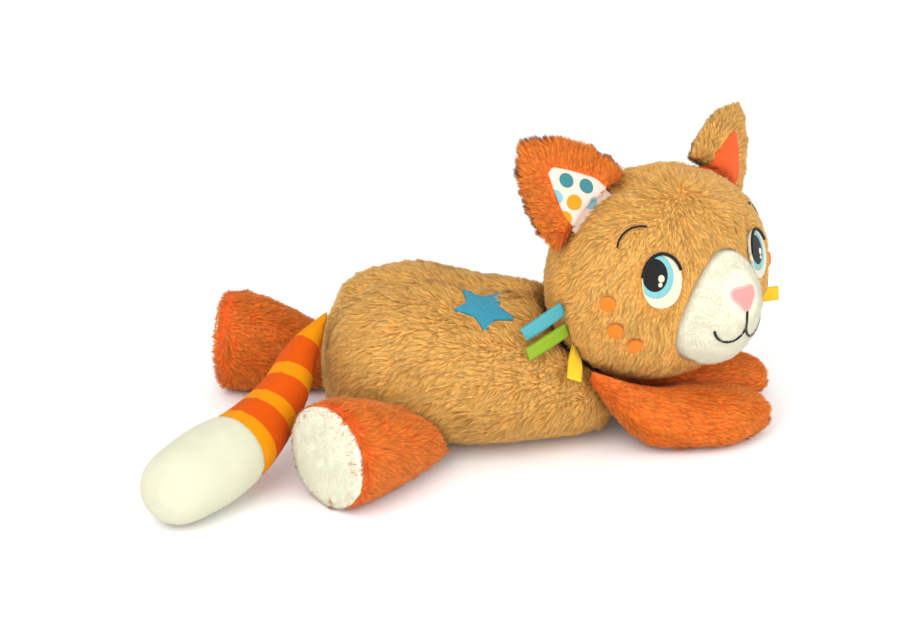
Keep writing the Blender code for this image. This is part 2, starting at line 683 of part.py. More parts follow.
def make_paw(side, sign, base):
    """Top and bottom pieces over a filling, hollowed where the chin and the chest meet it."""
    pivot = empty(f"{side}_paw_pivot", (PAW_PIVOT[0] * MM, sign * PAW_PIVOT[1] * MM, 0), base)
    hollow = loft(f"{side}_paw_hollow", paw_rings(side, sign, FABRIC), None, pivot)
    wide, seam = 0.3, 15 * MM
    boolean(hollow, "DIFFERENCE", beside_body(f"{side}_hollow_side", FABRIC, base))
    beside = beside_body(f"{side}_skin_side", 0, base)
    halves = {
        "top": ((-wide, -wide, seam + GAP / 2), (wide, wide, wide)),
        "bottom": ((-wide, -wide, -wide), (wide, wide, seam - GAP / 2)),
    }
    for name, (low, high) in halves.items():
        skin = loft(f"{side}_front_paw_{name}", paw_rings(side, sign, 0), "orange_plush", pivot)
        boolean(skin, "DIFFERENCE", hollow)
        boolean(skin, "INTERSECT", block(f"{side}_paw_{name}_side", low, high, pivot))
        boolean(skin, "DIFFERENCE", beside)
    filling = loft(f"{side}_front_paw_filling", paw_rings(side, sign, FILLING), "filling", pivot)
    boolean(filling, "DIFFERENCE", beside_body(f"{side}_filling_side", FILLING, base))


clear_scene()
root = empty("cat_base", -ORIGIN)
make_torso(root)
make_head(root)
make_tail(root)
for leg_side in ("right", "left"):
    make_leg(leg_side, root)
make_paw("right", -1, root)
make_paw("left", 1, root)
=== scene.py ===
"""Plush cat lying on its belly: stuffed skins blown up over the CAD frame, cut pile, stitched face, ribbons.

Metres, +Z up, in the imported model's frame. Each stuffed piece is its CAD solids remeshed and inflated as
cloth, and the pile is thousands of tapered tufts laid along the nap of each fabric panel.
"""
import math

import bmesh
import bpy
import numpy as np
from mathutils import Matrix, Vector
from mathutils.bvhtree import BVHTree


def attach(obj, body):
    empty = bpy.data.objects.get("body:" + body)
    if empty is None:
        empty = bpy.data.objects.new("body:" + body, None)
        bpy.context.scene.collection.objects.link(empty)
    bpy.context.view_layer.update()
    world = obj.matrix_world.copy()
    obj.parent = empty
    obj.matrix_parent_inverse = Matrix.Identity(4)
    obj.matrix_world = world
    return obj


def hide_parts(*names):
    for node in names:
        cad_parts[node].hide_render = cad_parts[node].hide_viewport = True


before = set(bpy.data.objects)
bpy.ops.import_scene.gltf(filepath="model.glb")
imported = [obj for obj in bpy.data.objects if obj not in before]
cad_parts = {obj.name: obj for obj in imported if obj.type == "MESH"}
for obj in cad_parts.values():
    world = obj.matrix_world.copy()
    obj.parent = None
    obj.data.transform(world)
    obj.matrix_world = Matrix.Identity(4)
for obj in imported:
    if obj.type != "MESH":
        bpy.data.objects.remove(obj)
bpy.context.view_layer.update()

MM = 0.001

# the torso's middle on the floor
BASE = np.array((0.5, 22.1, 0.0)) * MM
FLOOR_HEIGHT = 0.3 * MM

# head frame: X to the nose, Y to the cat's left, Z up
HEAD_CENTRE = BASE + np.array((121.5, 0, 104)) * MM
HEAD_AXES = np.array(Matrix.Rotation(math.radians(-53), 3, "Z") @ Matrix.Rotation(math.radians(-3), 3, "X"))
HEAD_SEMI = np.array((62, 86, 72.5)) * MM
SEAM_TILT = math.radians(-2)
MUZZLE_CENTRE = np.array((30, 0, -10)) * MM
MUZZLE_SEMI = np.array((48, 40, 44)) * MM
EYE_PLACES = {"right": (-49, 17), "left": (36.5, 20)}
EYE_HALF = {"right": (13, 17), "left": (11.5, 16)}
BROW_PLACES = {"right": (-53, 45), "left": (54.5, 43)}
BROW_LIFT = {"right": 1.3 * MM, "left": -0.6 * MM}
FRECKLES = {"upper": (76, 2), "middle": (71, -16), "lower": (59, -27)}
RIBBON_WIDTH = 9.5 * MM
RIBBONS = {
    "right": {
        "blue": (-6, (-0.36, 0.76, -0.54), 28 * MM),
        "green": (-17, (-0.18, 0.9, -0.4), 29 * MM),
        "yellow": (-29, (0.66, 0.68, -0.46), 25 * MM),
    },
    "left": {
        "blue": (-6, (-0.82, 0.5, -0.2), 28 * MM),
        "green": (-16, (-0.8, 0.5, -0.3), 28 * MM),
        "yellow": (-25, (0.36, 0.93, 0.05), 34 * MM),
    },
}
# degrees that a tag turns about its own length by its fold
RIBBON_TWISTS = {("right", "yellow"): -50}
EAR_BASE = np.array((-10, 59, 51)) * MM
EAR_DIRECTION = {"right": (-0.4, 0.62, 0.7), "left": (-0.1, 0.45, 0.86)}
EAR_FACING = (1.0, 0.1, 0.0)
EAR_HEIGHT = {"right": 62 * MM, "left": 54 * MM}

# tail: (x, y, z, radius) along its middle, in millimetres from the torso's middle
TAIL = [
    (-92, 6, 82, 4),
    (-113, -22, 64, 13),
    (-126, -50, 47, 18),
    (-149, -84, 33, 24),
    (-171, -108, 28, 28),
    (-191, -131, 25.5, 26),
]
TAIL_BORDER = 0.66
# share of the sleeve from the rump at which each band ends, yellow first
TAIL_BANDS = (0.25, 0.44, 0.53, 0.69, 0.775, 0.915)

LEG_PIVOTS = {"right": (-22.7, -55.4), "left": (-66, 60)}
LEG_YAWS = {"right": 218, "left": 169}
LEG_LENGTH = 100 * MM
LEG_AXIS_HEIGHT = 34 * MM
SOLE_BULGE = {"right": 3.8 * MM, "left": 1.4 * MM}
SOLE_HALF = {"right": 32, "left": 29}
STAR_CENTRE = np.array((5, -34, 100)) * MM
STAR_RADIUS = 22 * MM
BELLY_SEAM = 14 * MM

# pile of each fabric: tufts, their length and width, how steeply they stand (radians), size of a clump
COATS = {
    "torso": (48000, 8 * MM, 0.85 * MM, 0.42, 3.2 * MM),
    "belly": (14000, 5 * MM, 0.9 * MM, 0.35, 3.2 * MM),
    "face": (48000, 7 * MM, 0.8 * MM, 0.36, 3.2 * MM),
    "head_back": (42000, 7 * MM, 0.8 * MM, 0.36, 3.2 * MM),
    "muzzle": (24000, 2 * MM, 0.45 * MM, 0.7, 1.6 * MM),
    "right_ear": (16000, 8 * MM, 0.8 * MM, 0.55, 2.8 * MM),
    "left_ear": (16000, 6 * MM, 0.8 * MM, 0.55, 2.8 * MM),
    "leg": (24000, 6 * MM, 0.7 * MM, 0.5, 3.2 * MM),
    "sole": (12000, 1.8 * MM, 0.45 * MM, 0.7, 1.6 * MM),
    "paw": (26000, 5.5 * MM, 0.7 * MM, 0.42, 3.2 * MM),
}

# studio: lamps as (name, place, watts, size), and the camera
WORLD_STRENGTH = 1.0
FLOOR_HALF = 6.0
LAMPS = (
    ("key", (-0.8, -1.3, 1.7), 20, 1.4),
    ("fill", (1.3, -1.1, 1.0), 11, 1.4),
    ("front", (-0.3, -1.7, 0.45), 14, 1.6),
)
LAMP_TARGET = (0, 0, 0.08)
CAMERA_LENS = 96.2
CAMERA_TURN, CAMERA_RISE = math.radians(-5), math.radians(22)
CAMERA_DISTANCE = 1.6
CAMERA_TARGET = (-0.0124, 0.0506, 0.0674)


# finishes


def plain_finish(name, colour, roughness, sheen=0.0):
    """A material with its one colour, roughness and sheen on the shader's own sockets."""
    made = bpy.data.materials.new(name)
    made.use_nodes = True
    shader = made.node_tree.nodes["Principled BSDF"]
    shader.inputs["Base Color"].default_value = (*colour, 1)
    shader.inputs["Roughness"].default_value = roughness
    shader.inputs["Sheen Weight"].default_value = sheen
    shader.inputs["Sheen Roughness"].default_value = 0.5
    shader.inputs["Specular IOR Level"].default_value = 0.3
    return made, made.node_tree, shader


def noise(tree, scale, detail=3.0, source=None):
    """A noise texture of scale cells a metre on the piece's own coordinates."""
    made = tree.nodes.new("ShaderNodeTexNoise")
    made.inputs["Scale"].default_value = scale
    made.inputs["Detail"].default_value = detail
    if source is None:
        source = tree.nodes.new("ShaderNodeTexCoord").outputs["Object"]
    tree.links.new(source, made.inputs["Vector"])
    return made.outputs["Fac"]


def ramp(tree, value, stops, interpolation="LINEAR"):
    """Colours along a value, given as (position, colour) stops."""
    made = tree.nodes.new("ShaderNodeValToRGB")
    made.color_ramp.interpolation = interpolation
    while len(made.color_ramp.elements) < len(stops):
        made.color_ramp.elements.new(0.5)
    for element, (position, colour) in zip(made.color_ramp.elements, stops):
        element.position = position
        element.color = (*colour, 1)
    tree.links.new(value, made.inputs["Fac"])
    return made.outputs["Color"]


def mottled(tree, shader, value, dark, light):
    """Base colour that runs from one (position, colour) stop to the other with the value."""
    tree.links.new(ramp(tree, value, (dark, light)), shader.inputs["Base Color"])


def bump(tree, shader, height, strength, distance):
    made = tree.nodes.new("ShaderNodeBump")
    made.inputs["Strength"].default_value = strength
    made.inputs["Distance"].default_value = distance
    tree.links.new(height, made.inputs["Height"])
    tree.links.new(made.outputs["Normal"], shader.inputs["Normal"])


def shaded(tree, colour, value, low, high):
    """The colour times a factor that runs from low to high with the value."""
    scale = tree.nodes.new("ShaderNodeMapRange")
    scale.inputs["To Min"].default_value = low
    scale.inputs["To Max"].default_value = high
    tree.links.new(value, scale.inputs["Value"])
    made = tree.nodes.new("ShaderNodeVectorMath")
    made.operation = "SCALE"
    tree.links.new(colour, made.inputs[0])
    tree.links.new(scale.outputs["Result"], made.inputs["Scale"])
    return made.outputs["Vector"]


def pile_finish(name, root, middle, tip, sheen=0.04, low=0.5, high=1.1):
    """Cut pile: dark at the root and light at the tip as painted shade deep in the pile, each clump darker
    at its border as painted shade between clumps and a little lighter or darker at random, in blotches.
    """
    made, tree, shader = plain_finish(name, tip, 0.7, sheen)
    along_and_shade = tree.nodes.new("ShaderNodeAttribute")
    along_and_shade.attribute_name = "along_and_shade"
    parts = tree.nodes.new("ShaderNodeSeparateColor")
    tree.links.new(along_and_shade.outputs["Color"], parts.inputs["Color"])
    # the dark root is painted shade deep in the pile; the green factor darkens each clump's border as painted
    # shade between clumps
    colour = ramp(tree, parts.outputs["Red"], ((0, root), (0.45, middle), (1, tip)))
    colour = shaded(tree, colour, parts.outputs["Green"], low, high)
    colour = shaded(tree, colour, noise(tree, 28), 0.92, 1.08)
    tree.links.new(colour, shader.inputs["Base Color"])
    return made


def backing_finish(name, colour):
    """The knitted ground that the pile stands on: uneven, rough, with a fine knit relief."""
    made, tree, shader = plain_finish(name, colour, 0.95, 0.05)
    dark = tuple(0.75 * c for c in colour)
    mottled(tree, shader, noise(tree, 260), (0.3, dark), (0.7, colour))
    bump(tree, shader, noise(tree, 900), 0.6, 0.6 * MM)
    return made


def fleece_finish(name, colour, shade):
    """Short fleece: soft mottling and a fine napped relief."""
    made, tree, shader = plain_finish(name, colour, 0.9, 0.1)
    mottled(tree, shader, noise(tree, 420, 5), (0.3, shade), (0.62, colour))
    bump(tree, shader, noise(tree, 1100, 6), 0.55, 0.7 * MM)
    return made


def thread_finish(name, colour, shade, pitch, across=0, roughness=0.42, sheen=0.1):
    """Satin stitches: parallel threads along one way of the cloth map, each a rounded ridge, with painted
    shade in the grooves between them.
    """
    made, tree, shader = plain_finish(name, colour, roughness, sheen)
    place = tree.nodes.new("ShaderNodeUVMap")
    place.uv_map = "cloth"
    threads = tree.nodes.new("ShaderNodeTexWave")
    threads.bands_direction = "XY"[across]
    threads.inputs["Scale"].default_value = 0.314 / pitch
    threads.inputs["Distortion"].default_value = 1.2
    threads.inputs["Detail"].default_value = 2
    threads.inputs["Detail Scale"].default_value = 2.5
    tree.links.new(place.outputs["UV"], threads.inputs["Vector"])
    mottle = noise(tree, 1.3, 2, place.outputs["UV"])
    # darker at the low end of the bands: painted shade in the grooves between threads
    colour_out = ramp(tree, threads.outputs["Fac"], ((0.1, shade), (0.6, colour)))
    tree.links.new(shaded(tree, colour_out, mottle, 0.86, 1.12), shader.inputs["Base Color"])
    bump(tree, shader, threads.outputs["Fac"], 0.55, 0.25 * MM)
    return made


def felt_finish(name, colour, shade):
    """Pressed felt: fine fibres lighter and darker over a nearly flat face."""
    made, tree, shader = plain_finish(name, colour, 0.9, 0.1)
    mottled(tree, shader, noise(tree, 1500, 6), (0.36, shade), (0.6, colour))
    bump(tree, shader, noise(tree, 1800, 6), 0.5, 0.4 * MM)
    return made


def jersey_bump(tree, shader, place, strength):
    """Knitted ribs a millimetre apart along the cloth map, broken into stitches."""
    height = None
    for direction, scale in (("X", 0.55), ("Y", 0.4)):
        wave = tree.nodes.new("ShaderNodeTexWave")
        wave.bands_direction = direction
        wave.inputs["Scale"].default_value = scale
        wave.inputs["Distortion"].default_value = 0.6
        tree.links.new(place, wave.inputs["Vector"])
        if height is None:
            height = wave.outputs["Fac"]
        else:
            both = tree.nodes.new("ShaderNodeMath")
            both.operation = "MULTIPLY"
            tree.links.new(height, both.inputs[0])
            tree.links.new(wave.outputs["Fac"], both.inputs[1])
            height = both.outputs["Value"]
    bump(tree, shader, height, strength, 0.3 * MM)


def attribute(tree, name, output="Vector"):
    made = tree.nodes.new("ShaderNodeAttribute")
    made.attribute_name = name
    return made.outputs[output]


def banded_finish():
    """Striped jersey: yellow and orange bands by the share along the sleeve, fine knit, slight mottling."""
    made, tree, shader = plain_finish("striped_fabric", TAIL_YELLOW, 0.9, 0.02)
    shader.inputs["Specular IOR Level"].default_value = 0.08
    stops = [(0, TAIL_YELLOW)]
    for i, edge in enumerate(TAIL_BANDS):
        stops.append((edge, TAIL_ORANGE if i % 2 == 0 else TAIL_YELLOW))
    colour = ramp(tree, attribute(tree, "share", "Fac"), stops, "CONSTANT")
    colour = shaded(tree, colour, noise(tree, 240, 5), 0.93, 1.06)
    tree.links.new(colour, shader.inputs["Base Color"])
    jersey_bump(tree, shader, attribute(tree, "lie"), 0.3)
    return made


def jersey_finish(name, colour, shade):
    """Plain jersey: nearly even colour over a fine knit."""
    made, tree, shader = plain_finish(name, colour, 0.85, 0.1)
    mottled(tree, shader, noise(tree, 60, 4), (0.3, shade), (0.65, colour))
    jersey_bump(tree, shader, attribute(tree, "lie"), 0.22)
    return made


def dotted_finish():
    """Pale printed cotton: oval dots in three colours at the listed places of the cloth map, on a weave."""
    made, tree, shader = plain_finish("dotted_cotton", PALE_PINK, 0.85, 0.2)
    place = tree.nodes.new("ShaderNodeUVMap")
    place.uv_map = "cloth"
    colour = None
    for colour_here, (x, y), (wide, high) in EAR_DOTS:
        move = tree.nodes.new("ShaderNodeMapping")
        move.vector_type = "POINT"
        move.inputs["Location"].default_value = (-x / wide, -y / high, 0)
        move.inputs["Scale"].default_value = (1 / wide, 1 / high, 1)
        tree.links.new(place.outputs["UV"], move.inputs["Vector"])
        away = tree.nodes.new("ShaderNodeVectorMath")
        away.operation = "LENGTH"
        tree.links.new(move.outputs["Vector"], away.inputs[0])
        inside = tree.nodes.new("ShaderNodeMapRange")
        inside.inputs["From Min"].default_value = 1.04
        inside.inputs["From Max"].default_value = 0.96
        tree.links.new(away.outputs["Value"], inside.inputs["Value"])
        mix = tree.nodes.new("ShaderNodeMix")
        mix.data_type = "RGBA"
        tree.links.new(inside.outputs["Result"], mix.inputs["Factor"])
        if colour is None:
            mix.inputs["A"].default_value = (*PALE_PINK, 1)
        else:
            tree.links.new(colour, mix.inputs["A"])
        mix.inputs["B"].default_value = (*colour_here, 1)
        colour = mix.outputs["Result"]
    colour = shaded(tree, colour, noise(tree, 1400, 4), 0.9, 1.08)
    tree.links.new(colour, shader.inputs["Base Color"])
    bump(tree, shader, noise(tree, 2200, 3), 0.4, 0.3 * MM)
    return made


# the roots darker than the tips: painted shade deep in the pile
TAN_ROOT, TAN_MIDDLE, TAN_TIP = (0.56, 0.17, 0.018), (0.95, 0.45, 0.085), (1.0, 0.6, 0.18)
ORANGE_ROOT, ORANGE_MIDDLE, ORANGE_TIP = (0.95, 0.06, 0.003), (1.0, 0.19, 0.01), (1.0, 0.31, 0.035)
CREAM, CREAM_SHADE = (0.72, 0.69, 0.53), (0.7, 0.67, 0.51)
# SOLE is the same cream fleece as CREAM made lighter: painted light on the soles
SOLE, SOLE_SHADE = (0.84, 0.82, 0.64), (0.82, 0.79, 0.61)
TAIL_WHITE, TAIL_WHITE_SHADE = (0.56, 0.55, 0.41), (0.53, 0.52, 0.38)
TAIL_YELLOW, TAIL_ORANGE = (0.68, 0.23, 0.001), (0.58, 0.075, 0.001)
PALE_PINK, DOT_TEAL = (0.68, 0.52, 0.43), (0.03, 0.17, 0.19)
DOT_BLUE, DOT_ORANGE = (0.19, 0.4, 0.45), (0.72, 0.24, 0.002)
# the dots of the ear's lining: colour, centre and half size in millimetres in the ear's frame
EAR_DOTS = (
    (DOT_TEAL, (1.6, 26.5), (4.3, 5.1)),
    (DOT_TEAL, (7.6, 14), (4.3, 5.1)),
    (DOT_BLUE, (-10.7, 25), (4.3, 5.1)),
    (DOT_ORANGE, (-5.4, 13.7), (4.8, 5)),
    (DOT_ORANGE, (-17, 11.6), (4.8, 5)),
    (DOT_BLUE, (4, 2), (4.3, 5)),
)

FINISHES = {
    "tan_pile": pile_finish("tan_pile", TAN_ROOT, TAN_MIDDLE, TAN_TIP),
    "orange_pile": pile_finish("orange_pile", ORANGE_ROOT, ORANGE_MIDDLE, ORANGE_TIP),
    "cream_pile": pile_finish("cream_pile", CREAM_SHADE, CREAM, CREAM, 0.1, 0.97, 1.02),
    # the backings darker than their pile's middle: painted shade under the pile
    "tan_backing": backing_finish("tan_backing", (0.8, 0.36, 0.06)),
    "orange_backing": backing_finish("orange_backing", (0.95, 0.12, 0.008)),
    "cream_fleece": fleece_finish("cream_fleece", CREAM, CREAM_SHADE),
    # lighter copies of the cream finishes: painted light on the soles
    "sole_pile": pile_finish("sole_pile", SOLE_SHADE, SOLE, SOLE, 0.1, 0.97, 1.02),
    "sole_fleece": fleece_finish("sole_fleece", SOLE, SOLE_SHADE),
    "white_thread": thread_finish("white_thread", (0.76, 0.71, 0.53), (0.56, 0.5, 0.35), 0.42),
    "blue_thread": thread_finish("blue_thread", (0.21, 0.52, 0.54), (0.12, 0.35, 0.38), 0.42),
    "black_thread": thread_finish("black_thread", (0.004, 0.004, 0.005), (0.001, 0.001, 0.001), 0.42, 0, 0.8),
    "pink_thread": thread_finish("pink_thread", (0.84, 0.36, 0.33), (0.6, 0.13, 0.14), 0.7),
    "pale_pink_thread": thread_finish("pale_pink_thread", (0.9, 0.5, 0.45), (0.72, 0.26, 0.26), 0.6),
    "orange_thread": thread_finish("orange_thread", (0.85, 0.21, 0.003), (0.6, 0.11, 0.002), 0.6),
    "blue_felt": felt_finish("blue_felt", (0.03, 0.27, 0.37), (0.015, 0.16, 0.24)),
    "orange_felt": felt_finish("orange_felt", (0.72, 0.1, 0.008), (0.6, 0.06, 0.005)),
    "blue_ribbon": thread_finish("blue_ribbon", (0.08, 0.4, 0.45), (0.055, 0.31, 0.36), 0.35, 1, 0.4),
    "green_ribbon": thread_finish("green_ribbon", (0.28, 0.46, 0.01), (0.2, 0.35, 0.008), 0.35, 1, 0.4),
    "yellow_ribbon": thread_finish("yellow_ribbon", (0.92, 0.6, 0.002), (0.82, 0.5, 0.002), 0.35, 1, 0.4),
    "striped_fabric": banded_finish(),
    "white_fabric": jersey_finish("white_fabric", TAIL_WHITE, TAIL_WHITE_SHADE),
    "dotted_cotton": dotted_finish(),
}


# meshes from arrays


def put_piece(name, places, polygons, finish, body):
    """An object at the origin with these points and same-sided polygons, riding on a body."""
    mesh = bpy.data.meshes.new(name)
    count, sides = polygons.shape
    mesh.vertices.add(len(places))
    mesh.vertices.foreach_set("co", np.ascontiguousarray(places, np.float32).ravel())
    mesh.loops.add(count * sides)
    mesh.loops.foreach_set("vertex_index", np.ascontiguousarray(polygons, np.int32).ravel())
    mesh.polygons.add(count)
    mesh.polygons.foreach_set("loop_start", np.arange(0, count * sides, sides, dtype=np.int32))
    mesh.update(calc_edges=True)
    mesh.shade_smooth()
    mesh.materials.append(FINISHES.get(finish) or finish)
    made = bpy.data.objects.new(name, mesh)
    bpy.context.scene.collection.objects.link(made)
    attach(made, body)
    return made


def cloth_map(piece, values):
    """Writes two values a point into the piece's UV map named cloth."""
    layer = piece.data.uv_layers.new(name="cloth")
    index = np.empty(len(piece.data.loops), np.int32)
    piece.data.loops.foreach_get("vertex_index", index)
    layer.data.foreach_set("uv", np.ascontiguousarray(values[index], np.float32).ravel())


def ring_piece(name, rings, finish, body, values=None):
    """Closed piece through rings of points, where the first and last ring have shrunk to a point: each point
    is joined to its neighbours round the ring and to the same place on the next ring."""
    rows, turns = rings.shape[:2]
    inner = rings[1:-1].reshape(-1, 3)
    places = np.vstack((inner, rings[0, :1], rings[-1, :1]))
    i, j = np.meshgrid(np.arange(rows - 3), np.arange(turns), indexing="ij")
    after = (j + 1) % turns
    quads = np.stack((i * turns + j, i * turns + after, (i + 1) * turns + after, (i + 1) * turns + j), -1)
    quads = quads.reshape(-1, 4)
    j = np.arange(turns)
    after = (j + 1) % turns
    first, last = len(inner), len(inner) + 1
    end = (rows - 3) * turns
    caps = np.vstack(
        (
            np.stack((np.full(turns, first), after, j), 1),
            np.stack((np.full(turns, last), end + j, end + after), 1),
        )
    )
    triangles = np.vstack((quads[:, (0, 1, 2)], quads[:, (0, 2, 3)], caps))
    made = put_piece(name, places, triangles, finish, body)
    if values is not None:
        flat = np.vstack((values[1:-1].reshape(-1, 2), values[0, :1], values[-1, :1]))
        cloth_map(made, flat)
    face_out(made)
    return made


def face_out(piece):
    """Turns the faces outwards."""
    bm = bmesh.new()
    bm.from_mesh(piece.data)
    bmesh.ops.recalc_face_normals(bm, faces=bm.faces)
    bm.to_mesh(piece.data)
    bm.free()


def tube(name, path, radius, finish, body, sides=8, stitch=0.0, flatten=1.0, normals=None):
    """A cord along the path: circles of the given radius square to it, closed at both ends, swelling between
    stitches of the given length."""
    along = np.gradient(path, axis=0)
    along /= np.linalg.norm(along, axis=1, keepdims=True)
    if normals is None:
        normals = np.tile((0.0, 0.0, 1.0), (len(path), 1))
    side = np.cross(along, normals)
    side /= np.linalg.norm(side, axis=1, keepdims=True)
    up = np.cross(side, along)
    steps = np.r_[0, np.cumsum(np.linalg.norm(np.diff(path, axis=0), axis=1))]
    size = np.full(len(path), radius)
    if stitch:
        size = size * (0.8 + 0.28 * np.abs(np.sin(np.pi * steps / stitch)))
    size[0] = size[-1] = 0
    angle = np.linspace(0, 2 * np.pi, sides, endpoint=False)
    rings = (
        path[:, None]
        + side[:, None] * (np.cos(angle)[None, :, None] * size[:, None, None])
        + up[:, None] * (np.sin(angle)[None, :, None] * size[:, None, None] * flatten)
    )
    values = np.stack(np.broadcast_arrays(steps[:, None] / MM, angle[None, :]), -1)
    return ring_piece(name, rings, finish, body, values)


def resample(path, step):
    """Points every step along a path of straight pieces."""
    path = np.asarray(path, float)
    lengths = np.r_[0, np.cumsum(np.linalg.norm(np.diff(path, axis=0), axis=1))]
    places = np.linspace(0, lengths[-1], max(3, int(lengths[-1] / step)))
    return np.stack([np.interp(places, lengths, path[:, k]) for k in range(path.shape[1])], 1)


# surfaces that stitched pieces lie on: each takes places in millimetres and gives points and normals


def head_to_world(places):
    return HEAD_CENTRE + places @ HEAD_AXES.T


def on_head(left, up):
    """Tangent frame of the head's ellipsoid at a place: the point, the normal, the way across, the way up."""
    y, z = left * MM, up * MM
    depth = HEAD_SEMI[0] * math.sqrt(1 - (y / HEAD_SEMI[1]) ** 2 - (z / HEAD_SEMI[2]) ** 2)
    place = np.array((depth, y, z))
    normal = place / HEAD_SEMI**2
    normal /= np.linalg.norm(normal)
    across = np.cross((0, 0, 1), normal)
    across /= np.linalg.norm(across)
    return place, normal, across, np.cross(normal, across)


def head_lie(left, up):
    """The head's surface seen along the normal at a place: where a line through each flat point along that
    normal leaves the ellipsoid."""
    place, normal, across, upward = on_head(left, up)

    def lie(flat):
        start = place + (flat[..., :1] * across + flat[..., 1:] * upward) * MM
        a = (normal**2 / HEAD_SEMI**2).sum()
        b = (start * normal / HEAD_SEMI**2).sum(-1)
        c = (start**2 / HEAD_SEMI**2).sum(-1) - 1
        reach = (-b + np.sqrt(np.maximum(b * b - a * c, 0))) / a
        point = start + reach[..., None] * normal
        out = point / HEAD_SEMI**2
        out /= np.linalg.norm(out, axis=-1, keepdims=True)
        return head_to_world(point), out @ HEAD_AXES.T

    return lie


def muzzle_depth(y, z):
    """How far forward the muzzle's surface is: the smooth greater of the bulge's ellipsoid and the head's."""
    bulge = 1 - (y / MUZZLE_SEMI[1]) ** 2 - ((z - MUZZLE_CENTRE[2]) / MUZZLE_SEMI[2]) ** 2
    bulge = MUZZLE_CENTRE[0] + MUZZLE_SEMI[0] * np.sqrt(np.maximum(bulge, 0.02))
    head = 1 - (y / HEAD_SEMI[1]) ** 2 - (z / HEAD_SEMI[2]) ** 2
    head = HEAD_SEMI[0] * np.sqrt(np.maximum(head, 0.02)) + 2.4 * MM
    soft = 3 * MM
    return (bulge + head + np.sqrt((bulge - head) ** 2 + soft**2)) / 2 - soft / 4


def muzzle_lie(flat):
    """The muzzle's surface straight ahead of each flat point, with its normal from the depth's own slopes."""
    y, z = flat[..., 0] * MM, flat[..., 1] * MM
    small = 0.5 * MM
    depth = muzzle_depth(y, z)
    slope_y = (muzzle_depth(y + small, z) - muzzle_depth(y - small, z)) / (2 * small)
    slope_z = (muzzle_depth(y, z + small) - muzzle_depth(y, z - small)) / (2 * small)
    out = np.stack((np.ones_like(depth), -slope_y, -slope_z), -1)
    out /= np.linalg.norm(out, axis=-1, keepdims=True)
    return head_to_world(np.stack((depth, y, z), -1)), out @ HEAD_AXES.T


def cloth_lie(tree, place, normal, up):
    """The inflated skin below each flat point, found by looking back along the normal."""
    normal = np.array(normal, float) / np.linalg.norm(normal)
    across = np.cross(up, normal)
    across /= np.linalg.norm(across)
    upward = np.cross(normal, across)

    def lie(flat):
        starts = place + (flat[..., :1] * across + flat[..., 1:] * upward) * MM + normal * 40 * MM
        shape = starts.shape
        hits = [tree.ray_cast(Vector(p), Vector(-normal)) for p in starts.reshape(-1, 3)]
        points = np.array([h[0] or p for h, p in zip(hits, starts.reshape(-1, 3) - normal * 40 * MM)])
        normals = np.array([h[1] or normal for h in hits])
        return points.reshape(shape), normals.reshape(shape)

    return lie


def applique(name, lie, outline, finish, body, lift, thickness, round_edge=8):
    """A closed sewn patch: its outline shrunk ring by ring to the middle, lying at lift above a surface,
    crowned by one minus the share to the power of round_edge, with its underside below the surface."""
    shares = np.r_[np.linspace(0, 0.85, 9), 0.92, 0.97, 1.0]
    top = outline[None] * shares[:, None, None]
    points, normals = lie(top)
    crown = (1 - shares**round_edge) ** 0.5 * thickness
    height = lift + crown
    upper = points + normals * height[:, None, None]
    upper[0] = upper[0].mean(0)
    below = (points - normals * 1.5 * MM)[::-1]
    below[-1] = below[-1].mean(0)
    flat = np.concatenate((top, top[::-1]))
    return ring_piece(name, np.concatenate((upper, below)), finish, body, flat)


def oval(half_width, half_height, count=40, power=2.0):
    angle = np.linspace(0, 2 * np.pi, count, endpoint=False)
    c, s = np.cos(angle), np.sin(angle)
    c = np.sign(c) * np.abs(c) ** (2 / power)
    s = np.sign(s) * np.abs(s) ** (2 / power)
    return np.stack((half_width * c, half_height * s), 1)


def arc(centre, radius, start, end, steps=16):
    angle = np.radians(np.linspace(start, end, steps + 1))
    return np.stack((centre[0] + radius * np.cos(angle), centre[1] + radius * np.sin(angle)), 1)


def thread_line(name, lie, line, radius, finish, body, lift):
    """A stitched line: a flattened cord that follows flat points over a surface."""
    points, normals = lie(resample(line, 0.6))
    return tube(name, points + normals * lift, radius, finish, body, 8, 2.2 * MM, 0.7, normals)


# inflated skins


def settle(piece):
    """Makes the modifiers' result the piece's own mesh."""
    shape = piece.evaluated_get(bpy.context.evaluated_depsgraph_get())
    made = bpy.data.meshes.new_from_object(shape)
    old = piece.data
    piece.modifiers.clear()
    piece.data = made
    bpy.data.meshes.remove(old)


def coordinates(mesh):
    places = np.empty(len(mesh.vertices) * 3, np.float32)
    mesh.vertices.foreach_get("co", places)
    return places.reshape(-1, 3).astype(float)


def vertex_normals(mesh):
    normals = np.empty(len(mesh.vertices) * 3, np.float32)
    mesh.vertex_normals.foreach_get("vector", normals)
    return normals.reshape(-1, 3).astype(float)


def move_to(mesh, places):
    mesh.vertices.foreach_set("co", np.ascontiguousarray(places, np.float32).ravel())
    mesh.update()


